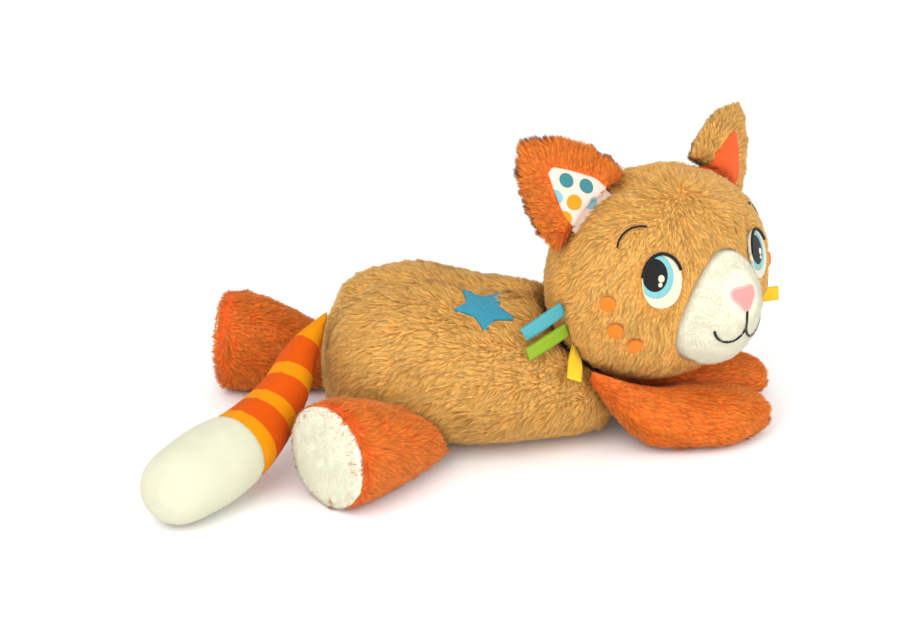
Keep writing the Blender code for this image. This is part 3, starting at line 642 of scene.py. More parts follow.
def inflated(name, nodes, voxel, shrink, reach, press=4.0):
    """The CAD solids merged, remeshed in voxel cells, drawn in by shrink and blown up as cloth, no point
    moving further than reach."""
    bm = bmesh.new()
    for node in nodes:
        bm.from_mesh(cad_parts[node].data)
    bmesh.ops.remove_doubles(bm, verts=bm.verts, dist=1e-6)
    mesh = bpy.data.meshes.new(name)
    bm.to_mesh(mesh)
    bm.free()
    piece = bpy.data.objects.new(name, mesh)
    bpy.context.scene.collection.objects.link(piece)
    remesh = piece.modifiers.new("remesh", "REMESH")
    remesh.mode = "VOXEL"
    remesh.voxel_size = voxel
    even = piece.modifiers.new("even", "SMOOTH")
    even.factor = 0.5
    even.iterations = 4
    settle(piece)
    start = coordinates(piece.data) - vertex_normals(piece.data) * shrink
    move_to(piece.data, start)
    cloth = piece.modifiers.new("cloth", "CLOTH")
    cloth.settings.quality = 4
    cloth.settings.use_pressure = True
    cloth.settings.uniform_pressure_force = press
    cloth.settings.effector_weights.gravity = 0
    cloth.settings.tension_stiffness = 12
    cloth.settings.compression_stiffness = 12
    cloth.settings.bending_stiffness = 0.3
    cloth.point_cache.frame_start = 1
    cloth.point_cache.frame_end = 20
    for number in range(1, 21):
        bpy.context.scene.frame_set(number)
    settle(piece)
    bpy.context.scene.frame_set(1)
    end = coordinates(piece.data)
    moved = end - start
    length = np.linalg.norm(moved, axis=1, keepdims=True)
    end = start + moved * np.minimum(1, reach / np.maximum(length, 1e-9))
    end[:, 2] = np.maximum(end[:, 2], FLOOR_HEIGHT)
    move_to(piece.data, end)
    finer = piece.modifiers.new("finer", "SUBSURF")
    finer.levels = finer.render_levels = 1
    settle(piece)
    return piece


def sewn_in(piece, distance, depth, width):
    """Draws a skin in along a seam: inwards by depth where the distance to the seam is nought, fading as a
    bell curve of the given width."""
    pull = depth * np.exp(-((distance / width) ** 2))
    move_to(piece.data, coordinates(piece.data) - vertex_normals(piece.data) * pull[:, None])


def finish_skin(piece, finish, body, slot, fill, *nodes):
    places = coordinates(piece.data)
    places[:, 2] = np.maximum(places[:, 2], FLOOR_HEIGHT)
    move_to(piece.data, places)
    piece.data.shade_smooth()
    piece.data.materials.clear()
    piece.data.materials.append(FINISHES[finish])
    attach(piece, body)
    if nodes:
        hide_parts(*nodes)
    return piece


# pile


def waves(places, length, seed):
    """Smooth value between about -1 and 1: six sine waves of about the given length in seeded directions."""
    draw = np.random.default_rng(seed)
    ways = draw.normal(size=(6, 3))
    size = np.linalg.norm(ways, axis=1, keepdims=True)
    ways *= (2 * np.pi / length) * draw.uniform(0.7, 1.4, (6, 1)) / size
    return np.sin(places @ ways.T + draw.uniform(0, 2 * np.pi, 6)).sum(1) / 3


def scattered(piece, count, keep, seed):
    """Points spread evenly over a skin by area, with their normals: equal steps of summed area pick the
    triangle."""
    mesh = piece.data
    mesh.calc_loop_triangles()
    corners = np.empty(len(mesh.loop_triangles) * 3, np.int32)
    mesh.loop_triangles.foreach_get("vertices", corners)
    corners = corners.reshape(-1, 3)
    places, normals = coordinates(mesh), vertex_normals(mesh)
    a, b, c = places[corners[:, 0]], places[corners[:, 1]], places[corners[:, 2]]
    area = np.linalg.norm(np.cross(b - a, c - a), axis=1) * keep((a + b + c) / 3)
    total = np.cumsum(area)
    draw = np.random.default_rng(seed)
    picked = np.searchsorted(total, (np.arange(count) + draw.random(count)) / count * total[-1])
    picked = np.minimum(picked, len(area) - 1)
    u, v = draw.random((2, count, 1))
    over = u + v > 1
    u, v = np.where(over, 1 - u, u), np.where(over, 1 - v, v)
    at = corners[picked]
    w = 1 - u - v
    points = places[at[:, 0]] * w + places[at[:, 1]] * u + places[at[:, 2]] * v
    out = normals[at[:, 0]] * w + normals[at[:, 1]] * u + normals[at[:, 2]] * v
    return points, out / np.linalg.norm(out, axis=1, keepdims=True)


def pile(name, piece, coat, finish, body, nap, keep, seed, trim=None):
    """Cut pile on a skin. Each tuft is a three-sided spike: its root triangle sits in the skin and its tip
    is the root plus its length along the nap, lifted off the surface, and drawn towards the middle of its
    clump's tips; the further it stood from that middle, the darker it is, which is painted shade in the gaps
    between clumps, and its root is marked for the finish's painted shade deep in the pile. Light falls on a
    tuft as on the skin below it. The nap is turned by waves, so the clumps fall in streaks."""
    count, length, width, lift, clump = COATS[coat]
    roots, normals = scattered(piece, count, keep, seed)
    draw = np.random.default_rng(seed + 1)
    way = nap(roots)
    way = way - normals * (way * normals).sum(1, keepdims=True)
    way /= np.maximum(np.linalg.norm(way, axis=1, keepdims=True), 1e-6)
    turn = 0.45 * waves(roots, 26 * MM, seed + 2) + 0.3 * waves(roots, 9 * MM, seed + 3)
    turn = turn + draw.normal(0, 0.16, count)
    side = np.cross(normals, way)
    way = way * np.cos(turn)[:, None] + side * np.sin(turn)[:, None]
    rise = lift * (1 + 0.35 * waves(roots, 7 * MM, seed + 4) + draw.normal(0, 0.22, count))
    rise = np.clip(rise, 0.12, 1.35)
    reach = length * (0.9 + 0.18 * waves(roots, 12 * MM, seed + 5) + draw.normal(0, 0.12, count))
    reach = np.clip(reach, 0.35 * length, 1.35 * length)
    if trim is not None:
        reach = reach * trim(roots)
    tips = roots + (way * np.cos(rise)[:, None] + normals * np.sin(rise)[:, None]) * reach[:, None]
    warp = np.stack([waves(roots, 11 * MM, seed + 6 + k) for k in range(3)], 1) * clump * 0.4
    cell = np.floor((roots + warp) / clump).astype(np.int64)
    key = (cell[:, 0] * 73856093) ^ (cell[:, 1] * 19349663) ^ (cell[:, 2] * 83492791)
    _, group = np.unique(key, return_inverse=True)
    size = np.bincount(group)
    middle = np.stack([np.bincount(group, tips[:, k]) / size for k in range(3)], 1)[group]
    # one at the middle of a clump and nought at its border, where painted shade between clumps falls
    painted_lit_middle = np.clip(1.25 - np.linalg.norm(middle - tips, axis=1) / (0.6 * clump), 0, 1)
    pulled = draw.uniform(0.25, 0.6, (count, 1)) * np.minimum(1, reach / length)[:, None]
    tips = tips + (middle - tips) * pulled
    tips[:, 2] = np.maximum(tips[:, 2], FLOOR_HEIGHT)
    along = tips - roots
    along /= np.maximum(np.linalg.norm(along, axis=1, keepdims=True), 1e-9)
    side = np.cross(normals, along)
    side /= np.maximum(np.linalg.norm(side, axis=1, keepdims=True), 1e-9)
    up = np.cross(along, side)
    half = width * draw.uniform(0.35, 0.65, (count, 1))
    sunk = roots - normals * 0.4 * MM
    points = np.stack((sunk + side * half, sunk + up * half * 1.1, sunk - side * half, tips), 1)
    base = np.arange(count)[:, None] * 4
    spikes = np.concatenate([base + np.array(face) for face in ((0, 1, 3), (1, 2, 3), (2, 0, 3), (2, 1, 0))])
    made = put_piece(name, points.reshape(-1, 3), spikes, finish, body)
    # the point colour: red is nought at the root and one at the tip, for the painted shade deep in the pile;
    # green is the painted shade between clumps
    along_and_shade = np.ones((count, 4, 4), np.float32)
    along_and_shade[:, :3, 0] = 0
    along_and_shade[:, 3, 0] = 1
    # painted shade at the clumps' borders, with tone that differs at random by clump and by tuft
    shade = 0.6 * painted_lit_middle + draw.random(len(size))[group] * 0.28 + draw.random(count) * 0.12
    along_and_shade[:, :, 1] = shade[:, None]
    layer = made.data.attributes.new("along_and_shade", "FLOAT_COLOR", "POINT")
    layer.data.foreach_set("color", along_and_shade.ravel())
    leans = np.stack((side, up, -side, along), 1) * np.array((0.55, 0.55, 0.55, 0.25))[:, None]
    shading = normals[:, None] + leans
    shading /= np.linalg.norm(shading, axis=2, keepdims=True)
    made.data.normals_split_custom_set_from_vertices(shading.reshape(-1, 3).astype(np.float32))
    return made


def everywhere(places):
    return np.ones(len(places))


# torso


def make_torso():
    """The torso's skin with its back and belly seams, the pile of each panel, and the star."""
    nodes = ("torso_right_panel", "torso_left_panel", "belly_panel", "neck_gusset", "torso_filling")
    torso = inflated("torso_skin", nodes, 4 * MM, 2.2 * MM, 5 * MM)
    places = coordinates(torso.data) - BASE
    high = places[:, 2] > 40 * MM
    sewn_in(torso, np.where(high, places[:, 1], 1.0), 3.0 * MM, 5 * MM)
    sewn_in(torso, np.where(places[:, 0] < 80 * MM, places[:, 2] - BELLY_SEAM, 1.0), 2.0 * MM, 4 * MM)
    hidden = ("belly_panel", "neck_gusset", "torso_filling")
    finish_skin(torso, "tan_backing", "torso", "tan_plush", 0.7, *hidden)
    skin = BVHTree.FromObject(torso, bpy.context.evaluated_depsgraph_get())
    star_up = np.array((0.0, 1.0, 0.0))
    star_out = np.array((0.1, -0.55, 0.83))
    angle = np.radians(-90 + 36 * np.arange(10))
    corner = STAR_RADIUS / MM * np.where(np.arange(10) % 2 == 0, 1, 0.52)
    star_corners = np.stack((corner * np.cos(angle), corner * np.sin(angle)), 1)
    star_outline = resample(np.vstack((star_corners, star_corners[:1])), 3)[:-1]
    lie = cloth_lie(skin, BASE + STAR_CENTRE, star_out, star_up)
    star = applique("star", lie, star_outline, "blue_felt", "torso", 1.3 * MM, 0.8 * MM, round_edge=14)
    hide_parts("star_patch")
    star_out = star_out / np.linalg.norm(star_out)
    star_across = np.cross(star_up, star_out)
    star_across /= np.linalg.norm(star_across)
    star_high = np.cross(star_out, star_across)

    def off_star(points):
        """Nought under the star, one from a few millimetres outside it."""
        flat = points - BASE - STAR_CENTRE
        x, y = (flat @ star_across) / MM, (flat @ star_high) / MM
        turn = (np.degrees(np.arctan2(y, x)) + 90) % 72
        turn = np.abs(np.where(turn > 36, 72 - turn, turn))
        edge = STAR_RADIUS / MM * (0.5 + 0.5 * np.clip(1 - turn / 30, 0, 1) ** 1.2)
        return (np.hypot(x, y) - edge + 1.2) / 4

    def nap(points):
        local = points - BASE
        down = -0.25 - 0.5 * np.clip(-local[:, 0] / (90 * MM), 0, 1)
        parting = np.sign(local[:, 1]) * 0.5 * np.exp(-((local[:, 1] / (14 * MM)) ** 2))
        return np.stack((np.full(len(points), -1.0), parting, down), 1)

    def trim(points):
        seam = np.abs(points[:, 1] - BASE[1])
        seam = np.where(points[:, 2] > 60 * MM, 0.55 + 0.45 * np.clip(seam / (6 * MM), 0, 1), 1)
        return seam * np.clip(off_star(points), 0.25, 1)

    for side, sign, seed in (("right", -1, 11), ("left", 1, 23)):

        def keep(points, sign=sign):
            own = (sign * (points[:, 1] - BASE[1]) > 0.6 * MM) & (points[:, 2] > BELLY_SEAM - 1 * MM)
            return (own & (off_star(points) > 0.05)).astype(float)

        name = f"torso_{side}_pile"
        coat = pile(name, torso, "torso", "tan_pile", "torso", nap, keep, seed, trim)
        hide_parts(f"torso_{side}_panel")

    def belly(points):
        return (points[:, 2] <= BELLY_SEAM - 1 * MM).astype(float)

    pile("belly_pile", torso, "belly", "tan_pile", "torso", nap, belly, 31)


# head


def share_of_oval(points, left, up, half_width, half_height):
    """How many times its half size each point lies away from an oval patch's middle, along its normal."""
    place, normal, across, upward = on_head(left, up)
    local = (points - HEAD_CENTRE) @ HEAD_AXES - place
    away = np.hypot((local @ across) / MM / half_width, (local @ upward) / MM / half_height)
    return np.where(local @ normal > -30 * MM, away, 9.0)


def share_of_muzzle(points):
    """How many times its own half size away from the muzzle's middle each point lies, seen from ahead."""
    local = (points - HEAD_CENTRE) @ HEAD_AXES / MM
    high = (local[:, 2] + 8) / 38
    away = np.hypot(local[:, 1] / (34 * (1 - 0.22 * np.clip(high, -1, 1))), high)
    return np.where(local[:, 0] > 0, away, 9.0)


def clear_of_patches(points):
    """Millimetres, roughly, from each point to the nearest stitched patch of the face."""
    gaps = [(share_of_muzzle(points) - 1) * 34]
    for side in ("right", "left"):
        gaps.append((share_of_oval(points, *EYE_PLACES[side], *EYE_HALF[side]) - 1) * 14)
        sign = -1 if side == "right" else 1
        for out, up in FRECKLES.values():
            gaps.append((share_of_oval(points, sign * out, up, 4.8, 4.8) - 1) * 4.8)
    return np.min(gaps, axis=0)


def head_nap(points):
    """Down and back over the head: from the crown outwards, and away from the muzzle on the face."""
    local = (points - HEAD_CENTRE) @ HEAD_AXES
    back = -0.55 * np.ones(len(points))
    out = np.sign(local[:, 1]) * np.clip(np.abs(local[:, 1]) / HEAD_SEMI[1], 0, 1) * 0.25
    way = np.stack((back, out + 0.12, -1.0 * np.ones(len(points))), 1)
    return way @ HEAD_AXES.T


def make_head():
    """The head's skin with its seam, and the pile of the face and back panels."""
    head = inflated("head_skin", ("face_panel", "head_back_panel", "head_filling"), 4 * MM, 2.4 * MM, 3 * MM)
    local = (coordinates(head.data) - HEAD_CENTRE) @ HEAD_AXES
    ahead = local[:, 0] * math.cos(SEAM_TILT) + local[:, 1] * math.sin(SEAM_TILT)
    sewn_in(head, ahead, 1.6 * MM, 4 * MM)
    finish_skin(head, "tan_backing", "head", "tan_plush", 0.85, "head_filling")

    def seam_side(points):
        at = (points - HEAD_CENTRE) @ HEAD_AXES
        return at[:, 0] * math.cos(SEAM_TILT) + at[:, 1] * math.sin(SEAM_TILT)

    def trim(points):
        near_patch = 0.3 + 0.7 * np.clip(clear_of_patches(points) / 7, 0, 1)
        near_seam = 0.6 + 0.4 * np.clip(np.abs(seam_side(points)) / (5 * MM), 0, 1)
        chin = np.clip((points[:, 2] - 33 * MM) / (22 * MM), 0.35, 1)
        return near_patch * near_seam * chin

    def face(points):
        return ((seam_side(points) > 0.5 * MM) & (clear_of_patches(points) > -0.3)).astype(float)

    def back(points):
        return (seam_side(points) < -0.5 * MM).astype(float)

    for part, keep, seed in (("face", face, 41), ("head_back", back, 53)):
        name = f"{part}_pile"
        coat = pile(name, head, part, "tan_pile", "head", head_nap, keep, seed, trim)
        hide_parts(f"{part}_panel")


def make_muzzle():
    """The fleece muzzle: an egg-shaped patch over the bulge, rolled under at its edge."""
    angle = np.linspace(0, 2 * np.pi, 72, endpoint=False)
    egg = np.stack((34 * np.cos(angle) * (1 - 0.22 * np.sin(angle)), -8 + 38 * np.sin(angle)), 1)
    middle = np.array((0, -8.0))
    shares = np.r_[np.linspace(0, 0.9, 20), 0.94, 0.97, 0.99, 1.0]
    flat = middle + (egg - middle)[None] * shares[:, None, None]
    points, normals = muzzle_lie(flat)
    roll = (1 - shares**10) ** 0.5 * 2.6 * MM - 1.6 * MM
    upper = points + normals * roll[:, None, None]
    y, z = flat[..., 0] * MM, flat[..., 1] * MM
    depth = HEAD_SEMI[0] * np.sqrt(np.maximum(1 - (y / HEAD_SEMI[1]) ** 2 - (z / HEAD_SEMI[2]) ** 2, 0.01))
    under = head_to_world(np.stack((depth - 3.5 * MM, y, z), -1))[::-1]
    muzzle = ring_piece(
        "muzzle", np.concatenate((upper, under)), "cream_fleece", "head", np.concatenate((flat, flat[::-1]))
    )
    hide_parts("muzzle_patch")

    def front(points):
        local = (points - HEAD_CENTRE) @ HEAD_AXES
        return (local[:, 0] > 20 * MM).astype(float) * (share_of_muzzle(points) < 1.02)

    def nap(points):
        local = (points - HEAD_CENTRE) @ HEAD_AXES
        return np.stack((np.zeros(len(points)), local[:, 1], local[:, 2] - 10 * MM), 1) @ HEAD_AXES.T

    def trim(points):
        local = (points - HEAD_CENTRE) @ HEAD_AXES / MM
        nose = np.hypot(local[:, 1] / 13, (local[:, 2] - 5) / 12)
        return np.clip((nose - 0.9) * 2.5, 0.3, 1)

    pile("muzzle_pile", muzzle, "muzzle", "cream_pile", "head", nap, front, 61, trim)


def make_face():
    """Nose, mouth, eyes, brows and freckles, all stitched over the skin."""
    nose = np.vstack((arc((7, 4), 5, -60, 95), arc((-7, 4), 5, 85, 240), arc((0, -6), 4, -140, -40)))
    nose = resample(np.vstack((nose, nose[:1])), 1.0)[:-1] * (0.86, 0.74) + (0, 3)
    patch = applique("nose", muzzle_lie, nose, "pink_thread", "head", 0.9 * MM, 0.9 * MM)
    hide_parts("nose_patch")
    border = np.vstack((nose, nose[:2]))
    rim = thread_line("nose_border", muzzle_lie, border, 0.9 * MM, "pale_pink_thread", "head", 1.1 * MM)
    cheek = arc((-10.5, -13), 10.5, -170, -4)
    smile = np.vstack((cheek, [(0, -14.5)], cheek[::-1] * (-1, 1)))
    stitch = (0.95 * MM, "black_thread", "head", 1.5 * MM)
    mouth = thread_line("mouth", muzzle_lie, smile, *stitch)
    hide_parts("mouth_stitching")
    lip = thread_line("lip_line", muzzle_lie, [(0, -14.5), (0, -4)], *stitch)
    for side, sign in (("right", -1), ("left", 1)):
        lie = head_lie(*EYE_PLACES[side])
        wide, high = EYE_HALF[side]
        across, up = wide / 13, high / 17
        field = oval(wide, high, power=2.2)
        iris = oval(11.2 * across, 13.8 * up) + (-3.9 * across, 3.1 * up)
        pupil = oval(8.2 * across, 10.3 * up) + (-5 * across, 4.1 * up)
        layers = (
            ("eye_white", field, "white_thread"),
            ("iris", held_in(iris, wide, high), "blue_thread"),
            ("pupil", held_in(pupil, wide, high), "black_thread"),
            ("upper_glint", oval(2.1 * across, 2.4 * up, 20) + (-1.2 * across, 2 * up), "white_thread"),
            ("lower_glint", oval(1.4 * across, 1.4 * up, 20) + (-1.9 * across, -1.8 * up), "white_thread"),
        )
        for level, (name, outline, finish) in enumerate(layers):
            middle = outline.mean(0)
            lift = (0.9 + 0.3 * min(level, 3)) * MM
            there = head_lie_from(lie, middle)
            patch = applique(f"{side}_{name}_patch", there, outline - middle, finish, "head", lift, 0.4 * MM)
            if level < 3:
                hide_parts(f"{side}_{name}")
        lash = arc((0, 0), 1, 22, 172, 24) * (wide + 0.1, high + 0.1)
        line = thread_line(f"{side}_lash", lie, lash, 1.15 * MM, "black_thread", "head", 1.9 * MM)
        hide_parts(f"{side}_lash_line")
        bend = arc((-2, -11.4), 15.3, 3, 102, 16) * (sign, 1)
        lie = head_lie(*BROW_PLACES[side])
        line = thread_line(f"{side}_brow_line", lie, bend, 0.75 * MM, "black_thread", "head", BROW_LIFT[side])
        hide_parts(f"{side}_brow")
        for name, (out, up) in FRECKLES.items():
            there, spot = head_lie(sign * out, up), oval(4.8, 4.8, 28)
            dot = applique(f"{side}_{name}_dot", there, spot, "orange_thread", "head", 1.1 * MM, 0.5 * MM)
            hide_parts(f"{side}_{name}_freckle")


def held_in(outline, half_width, half_height):
    """The outline drawn in towards the middle where it would leave the oval field around it."""
    away = np.hypot(outline[:, 0] / half_width, outline[:, 1] / half_height)
    return outline * (np.minimum(1, 0.97 / np.maximum(away, 1e-6)))[:, None]


def head_lie_from(lie, offset):
    """The same surface with flat places counted from an offset."""
    return lambda flat: lie(flat + np.array(offset, float))


def make_ribbons():
    """Folded ribbon tags: a flat band that goes out from the seam, turns over a small roll and comes back."""
    tilt = np.array(Matrix.Rotation(SEAM_TILT, 3, "Z"))
    for side, sign in (("right", -1), ("left", 1)):
        for colour, (degrees, direction, length) in RIBBONS[side].items():
            a = math.radians(degrees)
            out = tilt @ np.array((0, sign * math.cos(a), math.sin(a)))
            reach = 1 / math.sqrt(((out / HEAD_SEMI) ** 2).sum())
            way = np.array(direction) * (1, sign, 1)
            way /= np.linalg.norm(way)
            seam = tilt @ np.array((0, -sign * math.sin(a), math.cos(a)))
            flat = seam - way * (seam @ way)
            flat /= np.linalg.norm(flat)
            face = np.cross(flat, way)
            twist = math.radians(RIBBON_TWISTS.get((side, colour), 0))
            start = out * (reach - 2.5 * MM)
            length = length + 2 * MM
            half, thick = 0.4 * MM, 0.35 * MM
            outward = np.linspace(0, length, 20)
            bow = 0.25 * MM * np.sin(np.pi * outward / length)
            turn = np.radians(np.linspace(90, -90, 9))
            spine_x = np.r_[outward, length + half * np.cos(turn[1:-1]), outward[::-1]]
            spine_y = np.r_[half + bow, half * np.sin(turn[1:-1]), -half - bow[::-1]]
            across = np.linspace(-RIBBON_WIDTH / 2, RIBBON_WIDTH / 2, 7)
            turned = twist * np.clip(spine_x / (0.6 * length), 0, 1)[:, None]
            face, flat = (
                face * np.cos(turned) - flat * np.sin(turned),
                flat * np.cos(turned) + face * np.sin(turned),
            )
            spine = start + spine_x[:, None] * way + spine_y[:, None] * face
            bend_x, bend_y = np.gradient(spine_x), np.gradient(spine_y)
            size = np.hypot(bend_x, bend_y)
            off = (bend_y / size)[:, None] * way - (bend_x / size)[:, None] * face
            rows = np.concatenate(
                (
                    (spine - off * thick)[:, None] + across[None, :, None] * flat[:, None],
                    spine[:, None] + across[None, ::-1, None] * flat[:, None],
                ),
                1,
            )
            rows = np.concatenate((rows.mean(1, keepdims=True).repeat(14, 1)[:1], rows,
                                   rows.mean(1, keepdims=True).repeat(14, 1)[-1:]))
            lengths = np.r_[0, np.cumsum(np.hypot(np.diff(spine_x), np.diff(spine_y)))]
            lengths = np.r_[lengths[0], lengths, lengths[-1]]
            sides = np.r_[across, across[::-1]]
            values = np.stack(np.broadcast_arrays(sides[None, :] / MM, lengths[:, None] / MM), -1)
            tag = ring_piece(f"{side}_{colour}_tag", head_to_world(rows), f"{colour}_ribbon", "head", values)
            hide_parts(f"{side}_{colour}_ribbon")


def ear_axes(side):
    """The ear's frame: its base, and the ways across, to the front and along it."""
    sign = -1 if side == "right" else 1
    mirror = np.array((1, sign, 1))
    along = np.array(EAR_DIRECTION[side]) * mirror
    along /= np.linalg.norm(along)
    across = np.cross(np.array(EAR_FACING) * mirror, along)
    across /= np.linalg.norm(across)
    front = np.cross(along, across)
    axes = np.stack((across, front, along), 1)
    return head_to_world(EAR_BASE * mirror), HEAD_AXES @ axes


def make_ear(side, plush, lining_finish, seed):
    """An ear: its inflated shell with longer pile, and the lining sewn on its front."""
    body = f"{side}_ear"
    shell = inflated(f"{side}_ear_skin", (f"{side}_ear_shell",), 2.8 * MM, 1.2 * MM, 2.5 * MM, 3.0)
    finish_skin(shell, f"{plush}_backing", body, f"{plush}_plush", 0.4)
    base, axes = ear_axes(side)
    height = EAR_HEIGHT[side] / MM
    corners = np.array(
        ((-18, -8), (18, -8), (16, 12), (9, 0.44 * height), (2.5, 0.62 * height), (-2.5, 0.62 * height),
         (-9, 0.44 * height), (-16, 12), (-18, -8))
    )
    outline = resample(corners, 2.0)[:-1]
    centre = np.array((0, 0.26 * height))
    skin = BVHTree.FromObject(shell, bpy.context.evaluated_depsgraph_get())
    lie = cloth_lie(skin, base, axes[:, 1], axes[:, 2])
    flipped = outline * (-1 if np.cross(axes[:, 2], axes[:, 1]) @ axes[:, 0] < 0 else 1, 1)

    def lining_lie(flat):
        return lie(flat + centre)

    name = f"{side}_ear_lining_patch"
    lining = applique(name, lining_lie, flipped - centre, lining_finish, body, 1.0 * MM, 0.9 * MM, 12)
    layer = lining.data.uv_layers["cloth"]
    values = np.empty(len(layer.data) * 2, np.float32)
    layer.data.foreach_get("uv", values)
    layer.data.foreach_set("uv", (values.reshape(-1, 2) + centre).astype(np.float32).ravel())
    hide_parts(f"{side}_ear_lining")

    def lining_gap(points):
        local = (points - base) @ axes / MM
        levels = (-20, 12, 0.44 * height, 0.62 * height, 0.66 * height)
        half = np.interp(local[:, 2], levels, (18, 16, 9, 2.5, -6))
        return np.where(local[:, 1] > 0, np.abs(local[:, 0]) - half, 9.0)

    def keep(points):
        local = (points - HEAD_CENTRE) @ HEAD_AXES
        inside = ((local / (HEAD_SEMI + 1 * MM)) ** 2).sum(1) < 1
        return ((lining_gap(points) > -0.8) & ~inside).astype(float)

    def nap(points):
        local = (points - base) @ axes
        spread = local[:, 0] / (34 * MM)
        way = np.stack((spread * 0.9, np.zeros(len(points)), 1 - 0.4 * np.abs(spread)), 1)
        return way @ axes.T

    def trim(points):
        return np.clip(lining_gap(points) / 3, 0.6, 1)

    coat = pile(f"{body}_pile", shell, body, f"{plush}_pile", body, nap, keep, seed, trim)
    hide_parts(f"{side}_ear_shell")


# tail, legs and paws


def tail_line():
    """The tail's middle line, its radius and its length so far, on a smooth curve through the rows."""
    rows = np.array(TAIL, float) * MM
    rows = np.vstack((rows[:1], rows, rows[-1:]))
    t = np.linspace(0, len(TAIL) - 1, 241)
    i = np.minimum(t.astype(int), len(TAIL) - 2)
    k = (t - i)[:, None]
    p, q, r, s = (rows[i + j] for j in range(4))
    curve = 0.5 * (2 * q + (r - p) * k + (2 * p - 5 * q + 4 * r - s) * k**2 + (3 * q - p - 3 * r + s) * k**3)
    points = curve[:, :3] + BASE
    length = np.r_[0, np.cumsum(np.linalg.norm(np.diff(points, axis=0), axis=1))]
    return points, length


def half_of(piece, name, place, normal):
    """A copy of a skin on the side that the normal points to, closed where it is cut."""
    bm = bmesh.new()
    bm.from_mesh(piece.data)
    everything = bm.verts[:] + bm.edges[:] + bm.faces[:]
    cut = bmesh.ops.bisect_plane(bm, geom=everything, plane_co=place, plane_no=normal, clear_inner=True)
    edges = [e for e in cut["geom_cut"] if isinstance(e, bmesh.types.BMEdge)]
    bmesh.ops.edgeloop_fill(bm, edges=edges)
    mesh = bpy.data.meshes.new(name)
    bm.to_mesh(mesh)
    bm.free()
    made = bpy.data.objects.new(name, mesh)
    bpy.context.scene.collection.objects.link(made)
    return made


def make_tail():
    """The striped sleeve and the white tip, cut from one inflated tail, seamed between them and on top."""
    whole = inflated("tail_form", ("tail_sleeve", "tail_tip", "tail_filling"), 3.6 * MM, 1.6 * MM, 3 * MM)
    line, length = tail_line()
    border_index = int(round(TAIL_BORDER * (len(line) - 1)))
    border, ahead = line[border_index], line[border_index + 1] - line[border_index - 1]
    ahead /= np.linalg.norm(ahead)
    sewn_in(whole, (coordinates(whole.data) - border) @ ahead, 1.1 * MM, 2.2 * MM)
    for name, sign, finish, nodes in (
        ("tail_sleeve_skin", -1, "striped_fabric", ("tail_sleeve", "tail_filling")),
        ("tail_tip_skin", 1, "white_fabric", ("tail_tip",)),
    ):
        part = half_of(whole, name, Vector(border + ahead * sign * 0.1 * MM), Vector(ahead * sign))
        places = coordinates(part.data)
        nearest = np.argmin(((places[:, None] - line[None]) ** 2).sum(-1), axis=1)
        along = np.gradient(line, axis=0)
        along /= np.linalg.norm(along, axis=1, keepdims=True)
        share = length[nearest] + ((places - line[nearest]) * along[nearest]).sum(1)
        flat_side = np.cross(along[nearest], (0, 0, 1))
        flat_side /= np.linalg.norm(flat_side, axis=1, keepdims=True)
        local = places - line[nearest]
        around = np.arctan2((local * flat_side).sum(1), (local * np.cross(flat_side, along[nearest])).sum(1))
        if sign < 0:
            ridge = np.exp(-((around * 20 / 2.2) ** 2)) * 1.2 * MM * np.clip(share / (20 * MM), 0, 1)
            groove = 0.6 * MM * np.exp(-((around * 20 / 5) ** 2))
            places = places + vertex_normals(part.data) * (ridge - groove)[:, None]
            move_to(part.data, places)
        values = part.data.attributes.new("share", "FLOAT", "POINT")
        values.data.foreach_set("value", np.clip(share / length[border_index], 0, 1.2).astype(np.float32))
        lie = part.data.attributes.new("lie", "FLOAT_VECTOR", "POINT")
        spread = np.stack((around * 22, share / MM, np.zeros(len(share))), 1)
        lie.data.foreach_set("vector", spread.astype(np.float32).ravel())
        finish_skin(part, finish, "tail", finish, 0.8, *nodes)
    bpy.data.objects.remove(whole)


def leg_axes(side):
    turn = math.radians(LEG_YAWS[side])
    x, y = LEG_PIVOTS[side]
    way = np.array((math.cos(turn), math.sin(turn), 0))
    return BASE + np.array((x, y, 0)) * MM, way, np.array((-way[1], way[0], 0))


